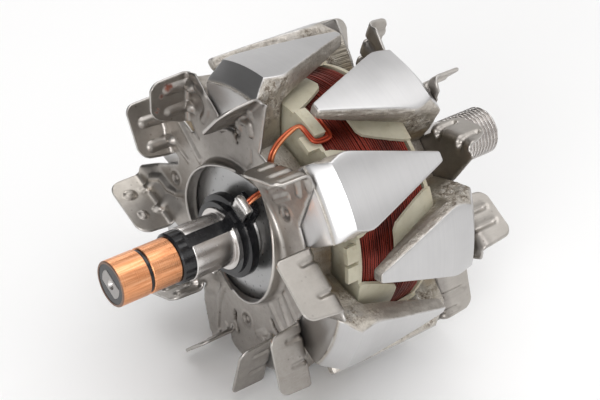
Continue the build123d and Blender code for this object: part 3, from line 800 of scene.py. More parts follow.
def fan(name, table, x_face, sense, lip_phi, ridges, spots, seed):
    """ridges are pressed lines ([(r, phi), ...], half width, height), spots the weld marks."""
    blades = [Blade(*t[:8], **(t[8] if len(t) > 8 else {})) for t in table]
    verts2, edges2, keep = [], [], []
    loops = []
    fold_cols = []
    d0 = BEND

    def sample(p, q, n):
        return [p + (q - p) * i / n for i in range(n)]

    def soften(pts, rad):
        """Round the corners of an outline given as a list of points."""
        out = []
        n = len(pts)
        for i in range(n):
            p, a, b = pts[i], pts[i - 1], pts[(i + 1) % n]
            r_ = rad[i]
            if r_ <= 0:
                out.append(p)
                continue
            va, vb = a - p, b - p
            la, lb = np.linalg.norm(va), np.linalg.norm(vb)
            q = min(r_, 0.4 * la, 0.4 * lb)
            va, vb = va / la * q, vb / lb * q
            for s in (0, .25, .5, .75, 1):
                out.append(p + va * (1 - s) ** 2 + vb * s ** 2)
        return out

    for bl in blades:
        cols = max(24, int(round(bl.L / 0.36)))
        fold = [bl.a + bl.n * d0 + bl.d * (bl.L * i / cols) for i in range(cols + 1)]
        bl.cols = cols
        pts = [fold[-1], bl.flap, bl.apex, plan(R_HUB - 3, bl.apex_polar[1]),
               plan(R_HUB - 6, (bl.apex_polar[1] + bl.fi[1]) / 2), plan(R_HUB - 3, bl.fi[1]), fold[0]]
        rest = soften(pts, [0, 1.6, 3.5, 0, 0, 0, 0])
        outline = list(fold)
        for p, q in zip(rest[:-1], rest[1:]):
            n = max(1, int(round(np.linalg.norm(q - p) / 0.75)))
            outline += sample(p, q, n)[0 if len(outline) > cols + 1 else 1:]
        base = len(verts2)
        bl.fold_base = base
        verts2 += [tuple(p) for p in outline]
        loops.append(list(range(base, len(verts2))))
    # hub disc and the edge where the rim of the hole starts
    N = 176
    r_rim = 24.6
    base = len(verts2)
    n_hub = 260
    verts2 += [tuple(plan(R_HUB, 360.0 * i / n_hub)) for i in range(n_hub)]
    loops.append(list(range(base, base + n_hub)))
    rim_base = len(verts2)
    verts2 += [tuple(plan(r_rim, lip_phi + 360.0 * i / N)) for i in range(N)]
    rim_loop = list(range(rim_base, rim_base + N))
    edges = []
    for lp in loops + [rim_loop]:
        edges += [(lp[i], lp[(i + 1) % len(lp)]) for i in range(len(lp))]
    n_in = len(verts2)

    def inside(points):
        pts = np.asarray(points, float)
        r = np.hypot(pts[:, 0], pts[:, 1])
        ok = r < R_HUB
        for lp in loops[:-1]:
            poly = np.array([verts2[i] for i in lp])
            x, y = pts[:, 0], pts[:, 1]
            c = np.zeros(len(pts), bool)
            j = len(poly) - 1
            for i in range(len(poly)):
                xi, yi, xj, yj = poly[i, 0], poly[i, 1], poly[j, 0], poly[j, 1]
                if yi != yj:
                    c ^= ((yi > y) != (yj > y)) & (x < (xj - xi) * (y - yi) / (yj - yi) + xi)
                j = i
            ok |= c
        return ok & (r > r_rim)

    g = 1.0
    gx, gy = np.meshgrid(np.arange(-54, 54, g), np.arange(-54, 54, g * 0.866))
    gx = gx + (np.arange(gx.shape[0]) % 2)[:, None] * g / 2
    coarse = np.stack([gx.ravel(), gy.ravel()], 1)
    g = 0.5
    gx, gy = np.meshgrid(np.arange(-54, 54, g), np.arange(-54, 54, g * 0.866))
    gx = gx + (np.arange(gx.shape[0]) % 2)[:, None] * g / 2
    fine = np.stack([gx.ravel(), gy.ravel()], 1)

    def detailed(P):
        """Where the plate needs a finer mesh: by ribs, pressed lines and weld marks."""
        m = np.zeros(len(P), bool)
        for bl in blades:
            u, dd = (P - bl.a) @ bl.d, (P - bl.a) @ bl.n
            for rib in bl.ribs:
                m |= (np.abs(u - rib[0]) < 2.4) & (dd > 0) & (dd < rib[2] + 2.2)
        for path, width, hgt in ridges:
            m |= path_distance(P, path) < width + 0.5
        for r_, p_ in spots:
            m |= np.linalg.norm(P - plan(r_, p_)[None], axis=1) < 3.2
        return m

    fine = fine[detailed(fine)]
    pts = np.concatenate([coarse[~detailed(coarse)], fine])
    pts = pts[inside(pts)]
    bnd = np.array(verts2)
    good = np.ones(len(pts), bool)
    for i in range(0, len(pts), 400):
        d = np.linalg.norm(pts[i:i + 400, None] - bnd[None], axis=2).min(1)
        good[i:i + 400] = d > 0.3
    pts = pts[good]
    allv = [Vector(v) for v in verts2] + [Vector((float(p[0]), float(p[1]))) for p in pts]
    v_out, e_out, f_out, v_orig, _, _ = delaunay_2d_cdt(allv, edges, [], 0, 1e-5)
    P2 = np.array([(v[0], v[1]) for v in v_out])
    tri = np.array([f for f in f_out if len(f) == 3])
    cen = P2[tri].mean(1)
    tri = tri[inside(cen)]
    index = {}
    for i, src in enumerate(v_orig):
        for s in src:
            index[s] = i
    # mid-surface heights of the plate
    H = np.full(len(P2), SHEET / 2)
    H = H + welds(P2, spots)
    for path, width, hgt in ridges:
        H = H + hgt * np.clip(1 - (path_distance(P2, path) / width) ** 2, 0, 1) ** 1.2
    rust_p = np.zeros(len(P2))
    for bl in blades:
        u = (P2 - bl.a) @ bl.d
        dd = (P2 - bl.a) @ bl.n
        near = (dd > d0 - 0.05) & (dd < 14) & (u > -6) & (u < bl.L + 4)
        s = -(dd - d0)
        add = rib_height(bl, np.where(near, u, -99), np.where(near, s, -99))
        H = H + np.where(near, add, 0)
        if bl.lift:
            win = smooth(-7, 0.5, u)
            ramp = np.where(dd >= d0, 1 - smooth(d0, 10.0, dd), 1 - smooth(0, 5, d0 - dd))
            ramp = ramp * np.where((dd > -6) & (u < bl.L + 6), 1, 0)
            H = H + bl.lift * win * ramp
    co3, faces = [], [tuple(t) for t in tri]
    face_y = x_face + MID

    def lift3(p2, h):
        p2 = np.asarray(p2, float)
        h = np.asarray(h, float)
        return np.stack([p2[..., 0], face_y + sense * h, p2[..., 1]], -1)

    co = [lift3(P2, H)]
    tag = [np.zeros(len(P2))]        # 0 plate, 1 blade
    count = len(P2)
    rust_all = [rust_p]
    # blades
    for bi, bl in enumerate(blades):
        cols = bl.cols
        top = bl.h - bl.lift
        arc = np.linspace(0, math.pi / 2, 8)[1:]
        v_up = np.concatenate([np.linspace(BEND + SHEET, top - 3.2, 14)[1:], top - 3.2 + 3.2 * np.sin(np.linspace(0, math.pi / 2, 9))[1:]])
        rows_ = []
        for a in arc:
            rows_.append((d0 - (BEND + SHEET / 2) * math.sin(a), (SHEET / 2) + (BEND + SHEET / 2) * (1 - math.cos(a)), a, None))
        for v in v_up:
            rows_.append((-SHEET / 2, v, math.pi / 2, v))
        prev = [index[bl.fold_base + i] for i in range(cols + 1)]
        uu = np.linspace(0, bl.L, cols + 1)
        h_plate = H[prev]
        for (dd, hh, ang, v) in rows_:
            vv = 0.0 if v is None else v
            v0 = 3.0
            fr = np.clip((vv - v0) / max(top - v0, 1e-3), 0, 1)
            eL, eR = bl.e_in * fr, bl.e_out * fr
            rL, rR = bl.corner
            dl, dr = max(0.0, vv - (top - rL)), max(0.0, vv - (top - rR))
            eL += rL - math.sqrt(max(rL * rL - dl * dl, 0.0))
            eR += rR - math.sqrt(max(rR * rR - dr * dr, 0.0))
            u = eL + (bl.L - eL - eR) * uu / bl.L
            s = np.full(cols + 1, (ang * (BEND + SHEET / 2)) * 0.5 if v is None else 1.6 + (vv - BEND - SHEET))
            rh = rib_height(bl, u, s)
            # offset along the sheet's own normal, towards the inside of the bend
            nd, nh = math.sin(ang), math.cos(ang)
            bow = bl.bow * (1 - (2 * u / bl.L - 1) ** 2) * fr
            lean = bl.lean * max(0.0, vv - 2.5)
            base_h = hh + bl.lift
            blend = 1 - min(1.0, ang / (math.pi / 2))
            p2 = bl.a[None] + bl.d[None] * u[:, None] + bl.n[None] * (dd + rh * nd + bow + lean)[:, None]
            h3 = base_h + rh * nh + (h_plate - SHEET / 2 - bl.lift - rib_height(bl, uu, np.zeros_like(uu))) * blend
            co.append(lift3(p2, h3))
            tag.append(np.ones(cols + 1) * (1 if v is not None else 0.5))
            rr = np.zeros(cols + 1)
            if bl.__dict__.get("rust"):
                pass
            rust_all.append(rr)
            cur = list(range(count, count + cols + 1))
            for j in range(cols):
                faces.append((prev[j], prev[j + 1], cur[j + 1], cur[j]))
            prev = cur
            count += cols + 1
    # rim round the hole
    phi = lip_phi + 360.0 * np.arange(N) / N
    top_h = 1.15 + 5.15 * np.abs(np.sin(np.radians(phi - lip_phi)))
    top_h = np.minimum(top_h, 6.15) - 0.05
    prev = [index[rim_base + i] for i in range(N)]
    h_base = H[prev]
    for t in np.linspace(0, 1, 15)[1:]:
        rise = np.maximum(top_h - SHEET, 0.02)
        rv = np.minimum(2.3, rise)
        if t <= 0.6:
            a = t / 0.6 * math.pi / 2
            rad = r_rim - 2.1 * math.sin(a)
            hh = SHEET / 2 + rv * (1 - math.cos(a))
        else:
            rad = r_rim - 2.1
            hh = SHEET / 2 + rv + (rise - rv) * (t - 0.6) / 0.4
        hh = hh + (h_base - SHEET / 2) * (1 - t) ** 2
        p2 = np.stack([rad * np.cos(np.radians(TOP - phi)), rad * np.sin(np.radians(TOP - phi))], 1)
        co.append(lift3(p2, hh))
        tag.append(np.zeros(N))
        rust_all.append(np.zeros(N))
        cur = list(range(count, count + N))
        for j in range(N):
            k = (j + 1) % N
            faces.append((prev[j], prev[k], cur[k], cur[j]))
        prev = cur
        count += N
    co = np.concatenate(co)
    rust = np.concatenate(rust_all)
    # light unevenness of the pressed sheet, with the face side kept off the pole
    up = sense * (co[:, 1] - face_y)
    wav = 0.10 * fnoise(co, 9.0, 2, seed)
    mid = mesh_object(name + "_mid", co, faces)
    import bmesh
    bm = bmesh.new()
    bm.from_mesh(mid.data)
    bm.verts.ensure_lookup_table()
    loose = [v for v in bm.verts if not v.link_faces]
    bmesh.ops.recalc_face_normals(bm, faces=bm.faces)
    # the plate's outside is the side away from the pole
    ref = sum(f.normal[1] * sense * f.calc_area() for f in bm.faces)
    if ref < 0:
        bmesh.ops.reverse_faces(bm, faces=bm.faces)
    bm.normal_update()
    N3 = np.array([tuple(v.normal) for v in bm.verts])
    used = np.array([bool(v.link_faces) for v in bm.verts])
    fcs = [[v.index for v in f.verts] for f in bm.faces]
    bedges = []
    for e in bm.edges:
        if len(e.link_faces) == 1:
            f = e.link_faces[0]
            vs = [v.index for v in f.verts]
            a_, b_ = e.verts[0].index, e.verts[1].index
            i = vs.index(a_)
            if vs[(i + 1) % len(vs)] == b_:
                bedges.append((a_, b_))
            else:
                bedges.append((b_, a_))
    bm.free()
    bpy.data.objects.remove(mid)
    tg = np.concatenate(tag)
    co = co + N3 * (wav * smooth(0.2, 1.0, tg))[:, None]
    half = SHEET / 2
    n = len(co)
    topv = co + N3 * half
    botv = co - N3 * half
    # rounded sheared edge: one more ring of points standing a little out
    bset = sorted({i for e in bedges for i in e})
    where = {v: k for k, v in enumerate(bset)}
    outdir = np.zeros((len(bset), 3))
    for a_, b_ in bedges:
        e = co[b_] - co[a_]
        for v in (a_, b_):
            outdir[where[v]] += np.cross(e, N3[v])
    ln = np.linalg.norm(outdir, axis=1)[:, None]
    outdir = outdir / np.maximum(ln, 1e-9)
    topv[bset] = co[bset] + N3[bset] * half * 0.62
    botv[bset] = co[bset] - N3[bset] * half * 0.62
    midv = co[bset] + outdir * 0.16
    allc = np.concatenate([topv, botv, midv])
    out_faces = [tuple(f) for f in fcs] + [tuple(n + i for i in reversed(f)) for f in fcs]
    for a_, b_ in bedges:
        ma, mb = 2 * n + where[a_], 2 * n + where[b_]
        out_faces.append((b_, a_, ma, mb))
        out_faces.append((mb, ma, n + a_, n + b_))
    rust2 = np.concatenate([rust, rust, rust[bset]])
    edge = np.zeros(len(allc))
    edge[bset] = 1.0
    edge[n + np.array(bset)] = 0.6
    edge[2 * n:] = 1.0
    lo, hi = np.array(CAD_BOX[0]) * 1000, np.array(CAD_BOX[1]) * 1000
    # keep out of the pole face and inside the turned outline
    hgt = sense * (allc[:, 1] - face_y)
    allc[:, 1] = face_y + sense * np.maximum(hgt, 0.012)
    r = np.hypot(allc[:, 0], allc[:, 2])
    k = np.where(r > 52.95, 52.95 / r, 1.0)
    allc[:, 0] *= k
    allc[:, 2] *= k
    ob = mesh_object(name, allc, out_faces)
    attribute(ob, "rust", rust2)
    attribute(ob, "edge", edge)
    # painted shade in the relief slits: ridges deeper than 0.5 mm are painted near black down in the groove
    slit = np.zeros(len(allc))
    for path, width, hgt in ridges:
        if hgt < -0.5:
            slit = np.maximum(slit, smooth(width * 0.75, width * 0.35, path_distance(allc[:, [0, 2]], path)) * (sense * (allc[:, 1] - face_y) < 1.6))
    attribute(ob, "slit", slit)
    _, _, ph = polar(allc)
    # painted light: blades standing 2 to 4.5 mm and more off the face are lightened, weighted by phi where they catch
    # the light
    catch = 1.0 if sense > 0 else 0.15 + 0.95 * smooth(12, 35, ph) * smooth(138, 118, ph)
    up = smooth(2.0, 4.5, sense * (allc[:, 1] - face_y))
    attribute(ob, "fold", up * catch)
    # painted shade on the flat plate between about phi -38 and 30, slip ring side fan only
    attribute(ob, "painted_plate_shade", (1 - up) * smooth(-38, -18, ph) * smooth(30, 12, ph) * (1.0 if sense < 0 else 0.0))
    weld = np.zeros(len(allc))
    for r_, p_ in spots:
        d = np.linalg.norm(allc[:, [0, 2]] - plan(r_, p_)[None], axis=1)
        weld = np.maximum(weld, np.where(up < 0.5, 0.55 * np.exp(-((d - 2.2) / 0.40) ** 2) + 0.75 * np.exp(-((d - 1.15) / 0.35) ** 2), 0))
    attribute(ob, "weld", weld)
    import bmesh
    bm = bmesh.new()
    bm.from_mesh(ob.data)
    bmesh.ops.delete(bm, geom=[v for v in bm.verts if not v.link_faces], context="VERTS")
    bm.to_mesh(ob.data)
    bm.free()
    ob["blades"] = len(blades)
    return ob, blades


FAN_A = [
    ((37.8, -36.8), (51.4, -23.4), 14.2, (50.2, -19.4), (36.5, -8.1), 0.0, 4.6, 0.7, {"ribs": [(5.3, 8.4, 2.0), (12.9, 8.6, 3.0)], "corner": (3.2, 3.2)}),
    ((35.6, 1.5), (51.6, 18.6), 12.5, (51.8, 22.0), (36.0, 24.4), 0.0, 1.0, 3.6, {"ribs": [(4.6, 7.4, 1.5, 1.2, 0.40, 0.25), (12.6, 8.0, 1.5, 1.2, 0.40, 0.25)], "corner": (3.0, 4.5)}),
    ((36.0, 33.5), (50.2, 49.8), 12.5, (50.4, 52.5), (32.0, 69.5), 0.0, 0.6, 1.2, {"ribs": [(4.4, 8.0, 5.5, 1.6, 0.7), (11.6, 9.4, 6.5, 1.6, 0.7), (17.0, 10.0, 4.0, 1.4, 0.5)]}),
    ((36.4, 77.0), (50.6, 97.6), 13.7, (51.6, 101.5), (33.5, 118.0), 0.0, 0.0, 1.4, {"ribs": [(3.9, 6.4, 1.5, 1.15, 0.62, 0.25), (14.2, 6.0, 1.5, 1.15, 0.62, 0.25)], "corner": (1.8, 3.2)}),
    ((34.4, 126.6), (51.9, 142.2), 12.5, (51.8, 146.5), (34.6, 155.5), 0.0, 0.8, 0.6, {"ribs": [(4.1, 6.6, 1.5, 1.15, 0.50, 0.25), (12.3, 6.4, 1.5, 1.15, 0.50, 0.25)]}),
    ((35.1, 157.6), (51.4, 173.2), 13.4, (48.4, 184.0), (46.6, 193.6), 0.0, 0.8, 0.0, {"ribs": [(4.5, 8.0, 3.0, 1.3, 0.45, 0.3), (12.5, 8.0, 3.0, 1.3, 0.45, 0.3)], "corner": (3.0, 1.6)}),
    ((39.8, 191.5), (52.6, 203.6), 13.6, (52.5, 205.6), (41.3, 217.0), 0.0, 0.2, 0.4, {"ribs": [(3.6, 6.0, 1.5, 1.1, 0.35, 0.2), (9.6, 6.0, 1.5, 1.1, 0.35, 0.2)]}),
    ((36.4, 217.0), (52.4, 231.5), 14.0, (52.2, 236.0), (34.0, 250.5), 1.6, 1.0, 1.0, {"ribs": [(4.1, 8.8, 1.5), (11.0, 9.0, 1.5)], "bumps": [(6.8, 2.2, 1.0, 1.0, 0.5)]}),
    ((35.2, 254.5), (52.9, 272.2), 15.6, (51.8, 276.0), (32.4, 292.5), 3.0, 0.8, 0.1, {"ribs": [(7.1, 3.0, 1.0, 1.4, 0.35, 0.7), (15.6, 3.0, 1.0, 1.4, 0.35, 0.7)], "bumps": [(7.0, 7.0, 1.7, 1.5, 0.95), (15.6, 7.0, 1.8, 2.3, 0.95)], "corner": (4.2, 4.0)}),
    ((37.0, 294.2), (52.6, 309.2), 12.5, (52.3, 313.5), (33.0, 321.5), 0.0, 1.5, 0.4, {"ribs": [(4.3, 8.2, 2.5), (12.3, 8.6, 2.5)], "corner": (4.0, 3.0)}),
]
FAN_B = [
    ((37.9, -41.5), (52.4, -29.5), 12.5, (52.5, -17.5), (38.4, -13.0), 0.0, 0.8, 1.0, {"ribs": [(4.5, 6.0, 1.5, 1.2, 0.3, 0.2), (12.0, 6.0, 1.5, 1.2, 0.3, 0.2)], "corner": (3.6, 4.2)}),
    ((37.3, -11.3), (52.5, 0.6), 9.0, (52.0, 4.2), (38.0, 21.0), 0.0, 0.8, 0.8, {}),
    ((38.8, 28.3), (52.4, 35.4), 12.5, (52.0, 39.0), (37.0, 44.0), 0.0, 0.8, 0.8, {}),
    ((38.0, 47.6), (51.8, 60.6), 11.0, (52.0, 64.4), (38.0, 75.0), 0.0, 0.6, 3.4, {"ribs": [(3.2, 7.6, 1.2, 1.6, 0.9, 0.6), (12.9, 8.0, 1.2, 1.6, 0.9, 0.6)], "corner": (3.0, 4.5)}),
    ((37.0, 84.6), (51.6, 98.4), 12.8, (51.4, 103.0), (35.0, 120.0), 0.0, 0.8, 0.8, {"ribs": [(5.6, 9.6, 3.5), (11.0, 9.6, 3.5)]}),
    ((37.4, 129.6), (52.4, 142.4), 12.5, (52.0, 147.0), (34.0, 160.0), 0.0, 0.8, 0.8, {"ribs": [(9.8, 10.0, 3.0, 1.4, 0.7, 0.5), (15.4, 6.5, 2.0, 1.2, 0.6, 0.4)]}),
    ((37.0, 165.0), (52.2, 178.0), 12.5, (52.0, 183.0), (35.0, 196.0), 0.0, 0.8, 0.8, {}),
    ((37.0, 204.0), (52.2, 217.0), 12.5, (52.0, 222.0), (35.0, 236.0), 0.0, 0.8, 0.8, {}),
    ((37.0, 243.0), (52.2, 256.0), 12.5, (52.0, 261.0), (35.0, 274.0), 0.0, 0.8, 0.8, {}),
    ((37.0, 281.0), (52.2, 294.0), 12.5, (52.0, 299.0), (35.0, 311.0), 0.0, 0.8, 0.8, {}),
]


def path_distance(P, path):
    pts = [plan(r_, p_) for r_, p_ in path]
    best = np.full(len(P), 1e9)
    for a, b in zip(pts, pts[1:]):
        L = np.linalg.norm(b - a)
        d = (b - a) / L
        t = np.clip((P - a) @ d, 0, L)
        best = np.minimum(best, np.linalg.norm(P - (a + d * t[:, None]), axis=1))
    return best


def welds(P2, places):
    h = np.zeros(len(P2))
    for r_, p_ in places:
        d = np.linalg.norm(P2 - plan(r_, p_)[None], axis=1)
        h += np.where(d < 3.4, 0.26 * np.exp(-((d - 2.4) / 0.45) ** 2) - 0.42 * (1 - smooth(1.2, 2.2, d)) + 0.40 * (1 - smooth(0.3, 0.9, d)), 0)
    return h


RIDGES_A = [
    # between the blades left of the top claw: two pressed folds and a relief slit
    ([(44.7, -58.1), (29.6, -58.1)], 1.1, 0.45),
    ([(39.3, -44.4), (25.6, -45.1)], 1.5, 0.75),
    ([(37.1, -38.1), (31.3, -35.0)], 0.8, -0.42),
    # hook beside blade one, then the short hook beside blade two
    ([(46.4, -23.5), (45.8, -20.3), (43.2, -17.0), (39.5, -16.4), (37.6, -18.4), (35.9, -23.1)], 1.5, 0.85),
    ([(33.7, -7.8), (36.0, -0.9), (40.4, 10.7), (40.6, 14.9), (38.1, 16.7)], 1.4, 1.05),
    ([(35.2, 3.9), (31.4, 5.8)], 0.9, -0.60),
    ([(32.6, 18.5), (28.5, 21.1), (24.9, 17.3)], 0.6, -0.30),
    # hook on the lifted flap of the blade at the left
    ([(46.2, -86.6), (42.4, -85.0), (40.1, -86.2), (37.9, -88.1), (33.8, -88.7), (27.5, -84.9)], 1.2, 0.65),
    # folds and relief slits in the lower part
    ([(24.9, 146.1), (33.4, 145.4)], 1.2, 0.5),
    ([(24.9, 130.0), (33.7, 137.6)], 1.1, 0.45),
    ([(25.2, 121.2), (32.9, 127.6)], 1.1, 0.45),
    ([(29.6, 152.3), (32.1, 152.4), (33.8, 151.0)], 0.85, -0.80),
    ([(32.6, -168.9), (36.1, -169.2), (39.1, -171.6)], 0.95, -0.85),
    ([(27.6, -154.9), (35.2, -154.3), (45.0, -157.3)], 1.3, 0.5),
    ([(34.0, 163.7), (35.7, 171.0)], 1.6, 0.6),
    ([(27.0, 40.5), (35.0, 44.0)], 1.1, 0.4),
    ([(27.5, 48.0), (35.0, 51.0)], 1.1, 0.4),
]
SPOTS_A = [(35.0, 6.3), (29.9, 58.6), (31.9, 179.6), (34.2, 280.6), (31.0, 108.0), (31.5, 232.0)]
RIDGES_B = [([(26, p), (35, p + 3)], 1.2, 0.45) for p in (0, 42, 100, 150, 222, 262, 322)]
SPOTS_B = [(33.0, 30.0), (32.0, 80.0), (33.0, 125.0), (32.0, 200.0), (33.0, 248.0), (32.0, 340.0)]


# ---------------------------------------------------------------- camera first
cam_data = bpy.data.cameras.new("camera")
cam = bpy.data.objects.new("camera", cam_data)
bpy.context.scene.collection.objects.link(cam)
right = Vector((0.61907504, 0.78533184, 0.0))
up = Vector((-0.41394165, 0.32630912, 0.84980861))
back = Vector((0.66738176, -0.5260953, 0.52709139))
rot = Matrix((right, up, back)).transposed()
cam.matrix_world = Matrix.Translation(Vector((0.31622726, -0.25432037, 0.25171653))) @ rot.to_4x4()
cam_data.sensor_fit = "HORIZONTAL"
cam_data.sensor_width = 36.0
cam_data.lens = 90.018
cam_data.clip_start, cam_data.clip_end = 0.01, 50.0
bpy.context.scene.camera = cam

# ---------------------------------------------------------------- build
pole_a = finish_pole(pole_half("pole_half_slip_ring_side_detail", False, 0.0, True), False, 0.0)
done(pole_a, M_POLE, ["pole_half_slip_ring_side"], 40)
pole_b = finish_pole(pole_half("pole_half_drive_side_detail", True, 30.0, False), True, 30.0)
done(pole_b, M_POLE, ["pole_half_drive_side"], 40)

fan_a, _ = fan("fan_slip_ring_side_detail", FAN_A, X_A, -1, 33.6, RIDGES_A, SPOTS_A, 3)
done(fan_a, M_FAN, ["fan_slip_ring_side"], 60)
fan_b, _ = fan("fan_drive_side_detail", FAN_B, X_B, 1, 33.6, RIDGES_B, SPOTS_B, 7)
done(fan_b, M_FAN, ["fan_drive_side"], 60)

# rust on the blade beside the top claw
co = coords(fan_a)
bl = Blade(*FAN_A[0][:8])
u = (co[:, [0, 2]] - bl.a) @ bl.d
dd = (co[:, [0, 2]] - bl.a) @ bl.n
v = -(co[:, 1] - (X_A + MID))
val = np.zeros(len(co))
for uc, vc, ru, rv in ((14.0, 8.5, 1.5, 1.1), (14.2, 7.4, 0.8, 0.9), (11.3, 10.4, 1.1, 0.8), (7.1, 12.2, 1.2, 0.9)):
    val = np.maximum(val, np.where(np.abs(dd + 0.2) < 2.2, np.clip(1.25 - ((u - uc) / ru) ** 2 - ((v - vc) / rv) ** 2, 0, 1), 0))
attribute(fan_a, "rust", val)

# painted warm highlight, lighter and warmer, over the outer part of the blade at the left
bl = Blade(*FAN_A[8][:8])
u = (co[:, [0, 2]] - bl.a) @ bl.d
dd = (co[:, [0, 2]] - bl.a) @ bl.n
attribute(fan_a, "tan", np.where((dd > -2) & (dd < 13) & (u > -2) & (v > -1), smooth(8, 19, u) * smooth(2.0, 5.0, v) * 0.9, 0))


# ---------------------------------------------------------------- winding
def winding():
    x0, x1, R = -16.85, 10.25, 40.62
    pitch = 0.76
    n_turn = int((x1 - x0) / pitch)
    per = 7
    rng = np.random.default_rng(4)
    lift = rng.normal(0, 0.07, n_turn + 3)
    shift = rng.normal(0, 0.05, n_turn + 3)
    n = 168
    phi = np.arange(n) * 360.0 / n
    rows_, turn = [], []
    tone = rng.uniform(0.72, 1.0, n_turn + 3)
    for i in range(n_turn * per + 1):
        t = i / per
        k = min(int(t), n_turn - 1)
        f = t - int(t) if i < n_turn * per else 1.0
        w = math.sin(math.pi * min(max(f, 0), 1))
        x = x0 + t * pitch
        slant = (phi / 360.0 * pitch) % pitch * 0
        wave = 0.10 * np.sin(np.radians(phi * 2 + k * 9)) + 0.05 * np.sin(np.radians(phi * 5 + k * 31))
        rr = R - 0.42 + 0.42 * w ** 0.7 + (lift[k] + 0.06 * np.sin(np.radians(phi * 3 + k * 50))) * w
        xx = x + (shift[k] + wave) * 0.8
        xx = np.clip(xx, x0, x1)
        rows_.append(row(xx, rr, phi))
        # painted shade: dark in the groove between turns, light on each crown, times a random tone per turn
        turn.append(np.full(n, tone[k]) * max(w, 0.0) ** 1.7)
    inner_r = 28.95
    rows_ = [row(x0, inner_r, phi)] + rows_ + [row(x1, inner_r, phi)]
    turn = [np.zeros(n)] + turn + [np.zeros(n)]
    co = np.concatenate(rows_)
    m = len(rows_)
    faces = grid_faces(m, n, wrap=True)
    for j in range(n):
        k = (j + 1) % n
        faces.append(((m - 1) * n + j, (m - 1) * n + k, k, j))
    ob = outward(mesh_object("field_winding_turns", co, faces))
    x, r, p = polar(coords(ob))
    tt = np.concatenate(turn)
    attribute(ob, "turn", np.resize(tt, len(ob.data.vertices)) if len(tt) != len(ob.data.vertices) else tt)
    c = coords(ob)
    attribute(ob, "dirt", 0.9 * smooth(-0.05, 0.5, fnoise(c, 11.0, 2, 77)))
    return ob


done(winding(), M_WIRE, ["field_winding"], 80)


# ---------------------------------------------------------------- leads: two strands side by side
LEAD = [(-13.4, 42.25, 24.0), (-13.4, 42.25, 30.0), (-13.4, 42.3, 35.6), (-15.0, 42.2, 36.3), (-18.0, 42.2, 36.3), (-19.6, 42.25, 35.4), (-19.8, 42.25, 30.0),
        (-19.9, 42.2, 26.6), (-21.3, 41.3, 25.8), (-24.5, 39.9, 26.3), (-27.6, 38.2, 27.5), (-29.5, 36.2, 28.9), (-29.95, 34.0, 30.2), (-29.9, 27.0, 31.8), (-29.9, 21.0, 33.6), (-30.6, 19.9, 34.0),
        (-32.6, 19.6, 34.5), (-34.2, 18.6, 35.0), (-35.2, 17.3, 35.5), (-36.3, 16.6, 35.8), (-36.4, 15.3, 36.0)]


def lead(name, node, turn_by):
    pts = np.array([row(x, r, p + turn_by) for x, r, p in LEAD])
    cu = bpy.data.curves.new(name + "_line", "CURVE")
    cu.dimensions = "3D"
    sp = cu.splines.new("NURBS")
    sp.points.add(len(pts) - 1)
    for q, p in zip(sp.points, pts):
        q.co = (p[0], p[1], p[2], 1)
    sp.order_u = 3
    sp.use_endpoint_u = True
    sp.resolution_u = 14
    ob = bpy.data.objects.new(name + "_line", cu)
    bpy.context.scene.collection.objects.link(ob)
    bpy.context.view_layer.update()
    me = bpy.data.meshes.new_from_object(ob)
    line = np.array([tuple(v.co) for v in me.vertices])
    bpy.data.meshes.remove(me)
    bpy.data.objects.remove(ob)
    d = np.cumsum(np.r_[0, np.linalg.norm(np.diff(line, axis=0), axis=1)])
    s = np.linspace(0, d[-1], 150)
    line = np.stack([np.interp(s, d, line[:, k]) for k in range(3)], 1)
    tan = np.gradient(line, axis=0)
    tan /= np.linalg.norm(tan, axis=1)[:, None]
    # carried frame
    side = np.cross(tan[0], np.array([0, 1.0, 0.2]))
    frames = []
    for t, c0 in zip(tan, line):
        flat = np.cross(t, np.array([c0[0], 0.0, c0[2]]) / math.hypot(c0[0], c0[2]))
        if np.linalg.norm(flat) > 0.3:
            side = side * 0.75 + flat * (0.25 if flat @ side >= 0 else -0.25)
        side = side - t * (side @ t)
        side /= np.linalg.norm(side)
        frames.append((side.copy(), np.cross(t, side)))
    made = []
    allco, allf, allt = [], [], []
    base = 0
    for strand in (0, 1):
        rad = 0.50
        rows_ = []
        for i, (c, (e1, e2)) in enumerate(zip(line, frames)):
            tw = 0.22 * math.sin(s[i] / 9.0) + 0.12 * math.sin(s[i] / 3.1 + 1)
            o = (e1 * math.cos(tw) + e2 * math.sin(tw)) * (0.49 if strand == 0 else -0.49)
            a = np.arange(10) * 2 * math.pi / 10
            rows_.append(c + o + rad * (np.cos(a)[:, None] * e1 + np.sin(a)[:, None] * e2))
        allco += rows_
        allf += grid_faces(len(rows_), 10, wrap=True, base=base)
        allf.append(tuple(base + q for q in range(10)))
        allf.append(tuple(base + (len(rows_) - 1) * 10 + q for q in reversed(range(10))))
        base += len(rows_) * 10
        # painted shadow: the first 17.5 to 22 mm of both strands, where the lead runs round the post, is painted dark;
        # strand 0 is painted as the shaded strand, darker than strand 1
        for q in s:
            dark = 1 - smooth(17.5, 22.0, q)
            allt.append(np.full(10, (0.22 if strand == 0 else 0.95) * (1 - 0.95 * dark)))
    ob = mesh_object(name, np.concatenate(allco), allf)
    attribute(ob, "turn", np.concatenate(allt))
    attribute(ob, "dirt", np.zeros(len(ob.data.vertices)))
    return done(ob, M_LEAD, [node], 60)


lead("winding_lead_start_strands", "winding_lead_start", 0.0)
lead("winding_lead_finish_strands", "winding_lead_finish", 180.0)


